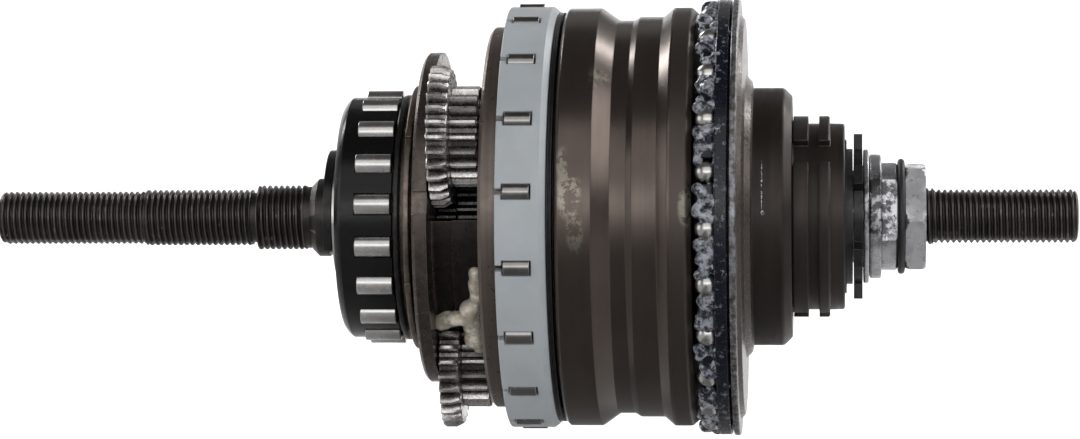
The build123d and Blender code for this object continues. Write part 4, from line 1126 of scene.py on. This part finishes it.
class HUB_OT_left_clutch(bpy.types.Operator):
    """Left roller clutch: black cage, rollers, cam, end plate and ring spring"""

    bl_idname = "hub.left_clutch"
    bl_label = "Left roller clutch"

    CONE_R, CONE_W = 1.3, 1.2
    BORE = 18.1
    FRONT_BORE, FRONT_W = 12.6, 2.3
    PLATE_BORE = 12.1
    SPRING_BORE = 19.44
    TAB_RISE, TAB_W = 0.35, 1.7
    TAB_ANGLES = (142.0, 211.0)

    def execute(self, context):
        self.cage()
        rollers("left_rollers_ground", "left_clutch_rollers", "left_cage", "polished_steel",
                LEFT_ROLLER_R, LEFT_ORBIT, LEFT_ROLLER_ANGLE)
        x0, x1, r = span("left_clutch_plate")
        turned("left_plate_turned", "left_clutch_plate", "carrier", "black_steel",
               [(x0, self.PLATE_BORE), (x0, r), (x1, r), (x1, self.PLATE_BORE)], rounding() * 1.4)
        keep_nodes("cam_steel", "left_clutch_cam")
        self.spring()
        return {"FINISHED"}

    def cage(self):
        """Black cage with a rounded front and a window round each roller."""
        x0, x1, r = span("left_clutch_cage")
        roll0, roll1 = span("left_clutch_rollers")[:2]
        win0, win1 = roll0 - POCKET_PLAY, roll1 + POCKET_PLAY
        half = pocket_half(r, LEFT_ROLLER_R, LEFT_ORBIT)
        angles = marks_between(either_side(evenly(LEFT_ROLLER_ANGLE, ROLLERS), half), 1.6)
        xs = [x0, x0 + self.CONE_W * 0.5, x0 + self.CONE_W, win0, win1, x1]

        def outer(x):
            drop = max(0.0, 1 - (x - x0) / self.CONE_W)
            return r - self.CONE_R * drop ** 1.6

        def solid(x, angle):
            return not win0 < x < win1 or off_place(angle, LEFT_ROLLER_ANGLE, ROLLERS) > half

        shape = Shape(*cells(xs, angles, solid, outer, lambda x: self.BORE))
        back = x0 + self.FRONT_W
        shape.add(*lathe([(x0, self.FRONT_BORE), (x0, self.BORE), (back, self.BORE), (back, self.FRONT_BORE)],
                         rounding()))
        make_piece("left_cage_moulded", shape, "left_cage", "black_plastic",
                   ["left_clutch_cage"], bevel=rounding())

    def spring(self):
        """Flat ring spring with two raised tabs."""
        x0, x1, r = span("left_clutch_spring")
        ring_r = r - self.TAB_RISE
        shape = Shape(*lathe([(x0, self.SPRING_BORE), (x0, ring_r), (x1, ring_r), (x1, self.SPRING_BORE)],
                             rounding() * 1.5))
        half = math.degrees(self.TAB_W / 2 / r)
        for middle in self.TAB_ANGLES:
            angles = marks_between(either_side([middle], half, 0.0), 8.0)
            shape.add(*cells([x0, x1], angles, lambda x, a: off_place(a, middle, 1) < half,
                             lambda x: r, lambda x: ring_r - 0.4))
        make_piece("left_spring_ring", shape, "carrier", "spring_steel",
                   ["left_clutch_spring"], bevel=rounding() * 0.6)


class HUB_OT_carrier(bpy.types.Operator):
    """Planet carrier with its pins and bush"""

    bl_idname = "hub.carrier"
    bl_label = "Planet carrier"

    GREASE_LIMIT = 31.0

    def execute(self, context):
        keep_nodes("carrier_steel", "planet_carrier")
        keep_nodes("polished_steel", "planet_pins_overdrive", "planet_pins_reduction")
        keep_nodes("bronze", "carrier_bush", "driver_bush")
        self.grease(random.Random(context.scene.hub_sizes.seed + 1))
        return {"FINISHED"}

    def grease(self, rng):
        """Web of old grease from a post down to the lower planet."""
        spots = []
        for route, count, thick in GREASE_WEB:
            for k in range(count):
                along = k / (count - 1) * (len(route) - 1)
                part = min(int(along), len(route) - 2)
                here = Vector(route[part]).lerp(Vector(route[part + 1]), along - part)
                jitter = [rng.uniform(-0.15, 0.15) for _ in range(3)]
                spots.append((*(here + Vector(jitter)), thick * rng.uniform(0.85, 1.15)))
        blob_piece("planet_grease", spots, "carrier", "old_grease", self.GREASE_LIMIT)


class HUB_OT_overdrive_planets(bpy.types.Operator):
    """Three stepped planets of the overdrive stage"""

    bl_idname = "hub.overdrive_planets"
    bl_label = "Overdrive planets"

    def execute(self, context):
        for number, angle in enumerate(evenly(PLANET_ANGLE, PLANETS), 1):
            node = f"overdrive_planet_{number}"
            make_piece(f"stepped_planet_{number}", self.planet(span(node)[0], angle), node,
                       "worn_gear_steel", [node], smooth=30.0)
        return {"FINISHED"}

    def planet(self, x, angle):
        shape = Shape()
        e = TOOTH_EDGE
        for step, (teeth, sun, width) in enumerate(zip(PLANET_TEETH, SUN_TEETH, PLANET_WIDTHS)):
            outline = gear_outline(teeth, MODULE_A, planet_phase(sun, teeth, angle))
            tip = (teeth / 2 + ADDENDUM) * MODULE_A
            along, across = FIRST_STEP_END if step == 0 else TOOTH_END
            layers = [
                (x, e, tip - TOOTH_END[1]),
                (x + e, 0.0, tip - TOOTH_END[1] + e),
                (x + TOOTH_END[0] + e, 0.0, tip),
                (x + width - along, 0.0, tip),
                (x + width - e, 0.0, tip - across + e),
                (x + width, e, tip - across),
            ]
            shape.add(*toothed(outline, layers, PLANET_BORE), shift=at(PLANET_ORBIT, angle))
            x += width
        return shape


class HUB_OT_ring_gear(bpy.types.Operator):
    """Overdrive ring gear and the snap ring that keeps the grey cage on"""

    bl_idname = "hub.ring_gear"
    bl_label = "Ring gear"

    SNAP_BORE = 32.37
    SNAP_GROOVE = 0.3

    def execute(self, context):
        keep_nodes("ring_gear_steel", "overdrive_ring_gear")
        x0, x1, r = span("cage_snap_ring")
        middle, half = (x0 + x1) / 2, self.SNAP_GROOVE / 2
        turned("snap_ring_rolled", "cage_snap_ring", "ring_gear", "black_steel",
               [(x0, self.SNAP_BORE), (x0, r), (middle - half, r), (middle, r - self.SNAP_GROOVE),
                (middle + half, r), (x1, r), (x1, self.SNAP_BORE)], rounding())
        return {"FINISHED"}


class HUB_OT_middle_clutch(bpy.types.Operator):
    """Middle roller clutch: grey cage with slits, and rollers"""

    bl_idname = "hub.middle_clutch"
    bl_label = "Middle roller clutch"

    BEVEL = 1.0
    BEVEL_SLOPE = 0.8
    WALL = 2.16

    def execute(self, context):
        x0, x1, r = span("middle_clutch_cage")
        roll0, roll1 = span("middle_clutch_rollers")[:2]
        win0, win1 = roll0 - MID_END_PLAY, roll1 + MID_END_PLAY
        half = pocket_half(r, MID_ROLLER_R, MID_ORBIT)
        slit = math.degrees(SLIT_W / 2 / r)
        angles = marks_between(either_side(evenly(MID_ROLLER_ANGLE, ROLLERS), half, slit), 1.25)

        def outer(x):
            return r - max(0.0, x - x1 + self.BEVEL) * self.BEVEL_SLOPE

        def solid(x, angle):
            off = off_place(angle, MID_ROLLER_ANGLE, ROLLERS)
            return x > win1 or off > (slit if x < win0 else half)

        shape = Shape(*cells([x0, win0, win1, x1 - self.BEVEL, x1], angles, solid, outer,
                             lambda x: r - self.WALL))
        make_piece("middle_cage_moulded", shape, "middle_cage", "grey_plastic",
                   ["middle_clutch_cage"], bevel=rounding())
        rollers("middle_rollers_ground", "middle_clutch_rollers", "middle_cage", "oily_steel",
                MID_ROLLER_R, MID_ORBIT, MID_ROLLER_ANGLE)
        return {"FINISHED"}


class HUB_OT_drum(bpy.types.Operator):
    """Gear drum, turned outside with lands, a slope and a shallow band"""

    bl_idname = "hub.drum"
    bl_label = "Gear drum"

    BORE, NECK, WEB = 31.4, 20.99, 3.25
    FLOOR_DROP, BAND_DROP = 2.1, 1.5
    LAND_W, SLOPE_W, FLOOR_W, STEP_W, BAND_W, RISE_W = 5.85, 2.95, 2.55, 1.0, 4.0, 1.75
    CHAMFER, SHOULDER = 0.5, 0.95

    def execute(self, context):
        x0, x1, land = span("gear_drum")
        floor_r, band_r = land - self.FLOOR_DROP, land - self.BAND_DROP
        slope = x0 + self.LAND_W
        flat = slope + self.SLOPE_W
        step = flat + self.FLOOR_W
        band = step + self.STEP_W
        rise = band + self.BAND_W
        right = rise + self.RISE_W
        turned("drum_turned", "gear_drum", "driver", "drum_steel", [
            (x0, self.BORE), (x0, land - self.CHAMFER), (x0 + self.CHAMFER, land, 0.3),
            (slope, land, 0.25), (flat, floor_r, 0.3), (step, floor_r, 0.2), (band, band_r, 0.25),
            (rise, band_r, 0.3), (right, land, 0.3), (x1 - self.SHOULDER, land, 0.9),
            (x1, land - self.SHOULDER, 0.3), (x1, self.NECK), (x1 - self.WEB, self.NECK),
            (x1 - self.WEB, self.BORE)], rounding())
        return {"FINISHED"}


class HUB_OT_ball_ring(bpy.types.Operator):
    """Hub balls, their retainer and the grease that is packed round them"""

    bl_idname = "hub.ball_ring"
    bl_label = "Ball ring"

    BAND_X = 2.65            # start of the closed band, from the retainer's left end
    FINGER_DROP = 0.8
    BALL_PLAY = 0.1
    BETWEEN, BETWEEN_REACH = 17, 4.9      # lumps of grease between two balls, and their reach in degrees
    ON_BAND, ON_BAND_REACH = 5, 7.5
    FINGER_BORE, BAND_BORE = 33.72, 35.76

    def execute(self, context):
        self.balls()
        self.retainer()
        sizes = context.scene.hub_sizes
        self.grease(random.Random(sizes.seed), sizes.blob / MM)
        return {"FINISHED"}

    def balls(self):
        x0, x1 = span("hub_balls")[:2]
        ball = icosphere(4, BALL_R)
        shape = Shape()
        for place in circle((x0 + x1) / 2, BALL_ORBIT, evenly(BALL_ANGLE, BALLS)):
            shape.add(*ball, shift=place)
        make_piece("hub_balls_ground", shape, "ball_ring", "polished_steel", ["hub_balls"])

    def retainer(self):
        x0, x1, r = span("ball_retainer")
        finger_r = r - self.FINGER_DROP
        band = x0 + self.BAND_X
        half = math.degrees(math.asin((BALL_R + self.BALL_PLAY) / BALL_ORBIT))
        angles = marks_between(either_side(evenly(BALL_ANGLE, BALLS), half), 1.3)

        def outer(x):
            if x <= x0 + 0.01:
                return finger_r - 0.7
            if x < band - 0.1:
                return finger_r
            return r if x < x1 - 0.1 else r - 0.15

        def inner(x):
            return self.FINGER_BORE if x < band + 0.3 else self.BAND_BORE

        shape = Shape(*cells([x0, x0 + 0.6, band - 0.4, band, x1 - 0.3, x1], angles,
                             lambda x, a: x > band or off_place(a, BALL_ANGLE, BALLS) > half, outer, inner))
        # Band finish is near black partly as painted shade.
        make_piece("retainer_pressed", shape, "ball_ring", "wet_black_and_shade",
                   ["ball_retainer"], bevel=rounding())

    def grease(self, rng, size):
        """Lumps of wet grease between the balls and on the retainer's band."""
        x0, _, r = span("ball_retainer")
        spots = []
        for middle in evenly(BALL_ANGLE + 180.0 / BALLS, BALLS):
            for _ in range(self.BETWEEN):
                angle = middle + rng.uniform(-self.BETWEEN_REACH, self.BETWEEN_REACH)
                x = x0 + rng.uniform(-0.1, 3.3)
                lift = rng.uniform(0.3, 0.8)
                spots.append((x, *at(r - 0.7 - size * lift, angle)[1:], size * rng.uniform(0.6, 1.15)))
            for _ in range(self.ON_BAND):
                angle = middle + rng.uniform(-self.ON_BAND_REACH, self.ON_BAND_REACH)
                x = x0 + rng.uniform(2.4, 4.6)
                spots.append((x, *at(r - size * 0.5, angle)[1:], size * rng.uniform(0.25, 0.5)))
        blob_piece("ball_ring_grease", spots, "ball_ring", "wet_grease", r + 0.05)


class HUB_OT_dust_cap(bpy.types.Operator):
    """Right dust cap with its greased lip"""

    bl_idname = "hub.dust_cap"
    bl_label = "Dust cap"

    CLEAR = 0.02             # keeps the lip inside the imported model's facets
    BORE, FACE_R, NOSE_R = 22.54, 24.0, 22.9
    RIM_W, CONE_W, FACE_W = 1.1, 0.75, 0.2
    RIM_DROP, CONE_DROP = 2.75, 3.55

    def execute(self, context):
        x0, x1, r = span("right_dust_cap")
        r -= self.CLEAR
        rim = x0 + self.RIM_W
        cone = rim + self.CONE_W
        face = cone + self.FACE_W
        turned("dust_cap_pressed", "right_dust_cap", "driver", "greasy_steel", [
            (x0, self.BORE), (x0, r, 0.3), (rim, r, 0.3), (rim, r - self.RIM_DROP, 0.3),
            (cone, r - self.CONE_DROP, 0.2), (face, self.FACE_R, 0.1), (x1, self.NOSE_R, 0.2),
            (x1, self.BORE)], rounding())
        return {"FINISHED"}


class HUB_OT_driver(bpy.types.Operator):
    """Driver with its body, sprocket seat, ring groove and lug notches"""

    bl_idname = "hub.driver"
    bl_label = "Driver"

    BODY_R, BODY_W, SHOULDER = 21.8, 6.65, 1.4
    SEAT_R, SEAT_W, GROOVE_W, NOSE_W = 17.0, 2.5, 1.8, 1.8
    GROOVE_DEPTH = 1.25
    NECK_R, CORE_R, BORE = 16.2, 14.2, 9.0
    BALL_SEAT_R, BALL_SEAT_W = 13.27, 4.9
    TAIL_W, TAIL_R, FACE_R = 6.0, 19.0, 22.4    # part of the body inside the dust cap
    FLANGE_BORE, FLANGE_R = 9.6, 20.95
    FLANGE = ((30.0, FLANGE_R), (31.0, 33.0), (34.25, 35.5), (34.3, FACE_R))    # places on the axle and radii

    def execute(self, context):
        edge = rounding()
        x0, x1 = span("driver")[:2]
        body0 = span("right_dust_cap")[1] + 0.05
        body1 = body0 + self.BODY_W
        seat0 = body1 + 0.2
        seat1 = seat0 + self.SEAT_W
        groove1 = seat1 + self.GROOVE_W
        nose1 = groove1 + self.NOSE_W
        tail, ball_x = body0 - self.TAIL_W, x1 - self.BALL_SEAT_W
        shape = Shape(*lathe([
            (tail, self.BORE), (tail, self.TAIL_R), (body0, self.FACE_R, 0.1), (body0, self.BODY_R, 0.35),
            (body1 - self.SHOULDER, self.BODY_R, 0.9), (body1, self.BODY_R - self.SHOULDER, 0.3),
            (body1, self.NECK_R, 0.1), (seat0, self.NECK_R), (seat0, self.CORE_R), (x1, self.CORE_R),
            (x1, self.BALL_SEAT_R), (ball_x, self.BALL_SEAT_R), (ball_x, self.BORE)], edge))
        # Flange with the cone face behind the cap
        shape.add(*lathe([(x0, self.FLANGE_BORE), (x0, self.FLANGE_R), *self.FLANGE, (tail, self.TAIL_R),
                          (tail, self.FLANGE_BORE)], edge))
        groove_r = self.SEAT_R - self.GROOVE_DEPTH

        def solid(x, angle):
            return not seat1 < x < groove1 and off_place(angle, LUG_ANGLE, LUGS) >= LUG_NOTCH / 2

        def land(x):
            return self.SEAT_R - (0.2 if x > nose1 - 0.1 else 0.0)

        angles = marks_between(either_side(evenly(LUG_ANGLE, LUGS), LUG_NOTCH / 2), 1.6)
        xs = [seat0, seat1, groove1, nose1 - 0.25, nose1]
        shape.add(*cells(xs, angles, solid, land, lambda x: groove_r))
        shape.add(*lathe([(seat0, self.CORE_R), (seat0, groove_r), (nose1, groove_r),
                          (x1, groove_r - 0.05, 0.4), (x1, self.CORE_R)], 0.05))
        make_piece("driver_turned", shape, "driver", "driver_steel", ["driver"], bevel=edge)
        return {"FINISHED"}


class HUB_OT_right_end(bpy.types.Operator):
    """Cone, washer, seal, rubber ring and lock nut on the right of the axle"""

    bl_idname = "hub.right_end"
    bl_label = "Cone and lock nut"

    BORE = 4.81
    WASHER_BORE = 7.85
    RING_BORE = 6.65
    TRACK = ((0.0, 8.4), (2.0, 10.4), (3.2, 11.6), (4.6, 11.6), (4.7, 7.8))    # from the cone's left end
    NECK_R = 7.8
    COLLAR_R, COLLAR_W = 10.5, 2.0
    FLAT_R, FLAT = 9.1, 7.5  # radius of the flatted part, and half its width over the flats
    FLAT_LEAN = 8.0
    END_CHAMFER = 0.35
    NUT_CHAMFER = 0.75

    def execute(self, context):
        self.cone()
        self.nut()
        keep_nodes("rubber", "right_seal")
        x0, x1, r = span("cone_washer")
        turned("cone_washer_pressed", "cone_washer", "axle", "bright_plating",
               [(x0, self.WASHER_BORE), (x0, r), (x1, r), (x1, self.WASHER_BORE)], rounding() * 2)
        x0, x1, r = span("cone_o_ring")
        ring = Shape(*lathe([(x0, r - 1.2, 0.5), (x0, r, 0.6), (x1, r, 0.6), (x1, r - 1.2, 0.5)], 0.5))
        ring.add(*lathe([(x0, self.RING_BORE), (x0, r - 1.0), (x1, r - 1.0), (x1, self.RING_BORE)], 0.1))
        make_piece("rubber_ring", ring, "axle", "rubber", ["cone_o_ring"])
        return {"FINISHED"}

    def cone(self):
        """Ball track, collar, and a part with two wrench flats."""
        x0, x1 = span("right_cone")[:2]
        body = span("cone_washer")[1] + 0.1
        step = body + self.COLLAR_W
        track = [(x0 + off, r) for off, r in self.TRACK]
        shape = Shape(*lathe([(x0, self.BORE), *track, (body, self.NECK_R), (body, self.BORE)], rounding()))
        shape.add(*lathe([(body, self.BORE), (body, self.COLLAR_R, 0.4), (step, self.COLLAR_R, 0.35),
                          (step, self.BORE)], rounding()))
        corner = math.degrees(math.acos(self.FLAT / self.FLAT_R))
        angles = marks_between(either_side((0, 180), corner), 3.0)
        lean = math.radians(self.FLAT_LEAN)
        verts = []
        for x, drop in ((step, 0.0), (x1 - self.END_CHAMFER, 0.0), (x1, self.END_CHAMFER)):
            for _, across, up in circle(x, self.FLAT_R - drop, angles):
                across = min(max(across, -self.FLAT), self.FLAT)
                verts.append((x, across * math.cos(lean) + up * math.sin(lean),
                              up * math.cos(lean) - across * math.sin(lean)))
        verts += circle(step, self.BORE, angles) + circle(x1, self.BORE, angles)
        faces = [face for pair in ((0, 1), (1, 2), (2, 4), (4, 3), (3, 0))
                 for face in strip(*pair, len(angles))]
        shape.add(verts, faces)
        make_piece("cone_plated", shape, "axle", "bright_plating", ["right_cone"],
                   bevel=rounding() * 0.7)

    def nut(self):
        """Hexagonal lock nut with turned corners."""
        x0, x1 = span("right_lock_nut")[:2]
        corner_r, chamfer = NUT_ACROSS / 2 / math.cos(math.pi / 6), self.NUT_CHAMFER
        angles = marks_between(evenly(NUT_ANGLE, 6), 2.5)
        # Places from the nut's end, and the largest radius at each
        ends = ((0.0, corner_r - chamfer), (0.25, corner_r - chamfer * 0.55), (chamfer * 0.8, corner_r))
        rows = [(x0 + inset, limit) for inset, limit in ends]
        rows += [(x1 - inset, limit) for inset, limit in reversed(ends)]
        verts = []
        for x, limit in rows:
            for angle in angles:
                off = math.radians((angle - NUT_ANGLE) % 60.0 - 30.0)
                verts += circle(x, min(NUT_ACROSS / 2 / math.cos(off), limit), [angle])
        inset = self.END_CHAMFER
        for x, r in ((x0, self.BORE + inset), (x0 + inset, self.BORE), (x1 - inset, self.BORE),
                     (x1, self.BORE + inset)):
            verts += circle(x, r, angles)
        order = [0, 1, 2, 3, 4, 5, 9, 8, 7, 6, 0]
        faces = [face for pair in zip(order, order[1:]) for face in strip(*pair, len(angles))]
        make_piece("lock_nut_plated", Shape(verts, faces), "axle", "bright_plating",
                   ["right_lock_nut"], smooth=25.0)


class HUB_OT_shift_ring(bpy.types.Operator):
    """Tabbed ring that the shift cable's unit turns"""

    bl_idname = "hub.shift_ring"
    bl_label = "Shift ring"

    def execute(self, context):
        keep_nodes("black_steel", "shift_ring")
        return {"FINISHED"}


class HUB_OT_inner_pieces(bpy.types.Operator):
    """Suns, pawls, spacers, reduction planets and cone bearing inside the hub"""

    bl_idname = "hub.inner_pieces"
    bl_label = "Inner pieces"

    def execute(self, context):
        gears = [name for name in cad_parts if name.startswith(("sun_gear", "sun_pawl", "reduction"))]
        # Darkened gear steel: painted shade on the inner gears.
        keep_nodes("shaded_packed_gear_steel", *gears)
        keep_nodes("polished_steel", "sun_spacers", "cone_retainer", "cone_balls")
        return {"FINISHED"}


STEPS = (
    HUB_OT_stage, HUB_OT_axle, HUB_OT_left_stack, HUB_OT_left_clutch, HUB_OT_carrier,
    HUB_OT_overdrive_planets, HUB_OT_ring_gear, HUB_OT_middle_clutch, HUB_OT_drum, HUB_OT_ball_ring,
    HUB_OT_dust_cap, HUB_OT_driver, HUB_OT_right_end, HUB_OT_shift_ring, HUB_OT_inner_pieces,
)


class HUB_PT_pieces(bpy.types.Panel):
    """Lists the hub's pieces in the order they are built"""

    bl_idname = "HUB_PT_pieces"
    bl_label = "Gear hub"
    bl_space_type = "VIEW_3D"
    bl_region_type = "UI"
    bl_category = "Gear hub"

    def draw(self, context):
        for step in STEPS:
            self.layout.operator(step.bl_idname)
        for group in (context.scene.hub_sizes, context.scene.hub_colours):
            box = self.layout.box()
            for name in group.__annotations__:
                box.prop(group, name)


CLASSES = (HubColours, HubSizes, *STEPS, HUB_PT_pieces)


def register():
    for cls in CLASSES:
        bpy.utils.register_class(cls)
    bpy.types.Scene.hub_colours = PointerProperty(type=HubColours)
    bpy.types.Scene.hub_sizes = PointerProperty(type=HubSizes)


def unregister():
    del bpy.types.Scene.hub_sizes
    del bpy.types.Scene.hub_colours
    for cls in reversed(CLASSES):
        bpy.utils.unregister_class(cls)


def main():
    register()
    for step in STEPS:
        group, name = step.bl_idname.split(".")
        getattr(getattr(bpy.ops, group), name)()


if __name__ == "__main__":
    main()
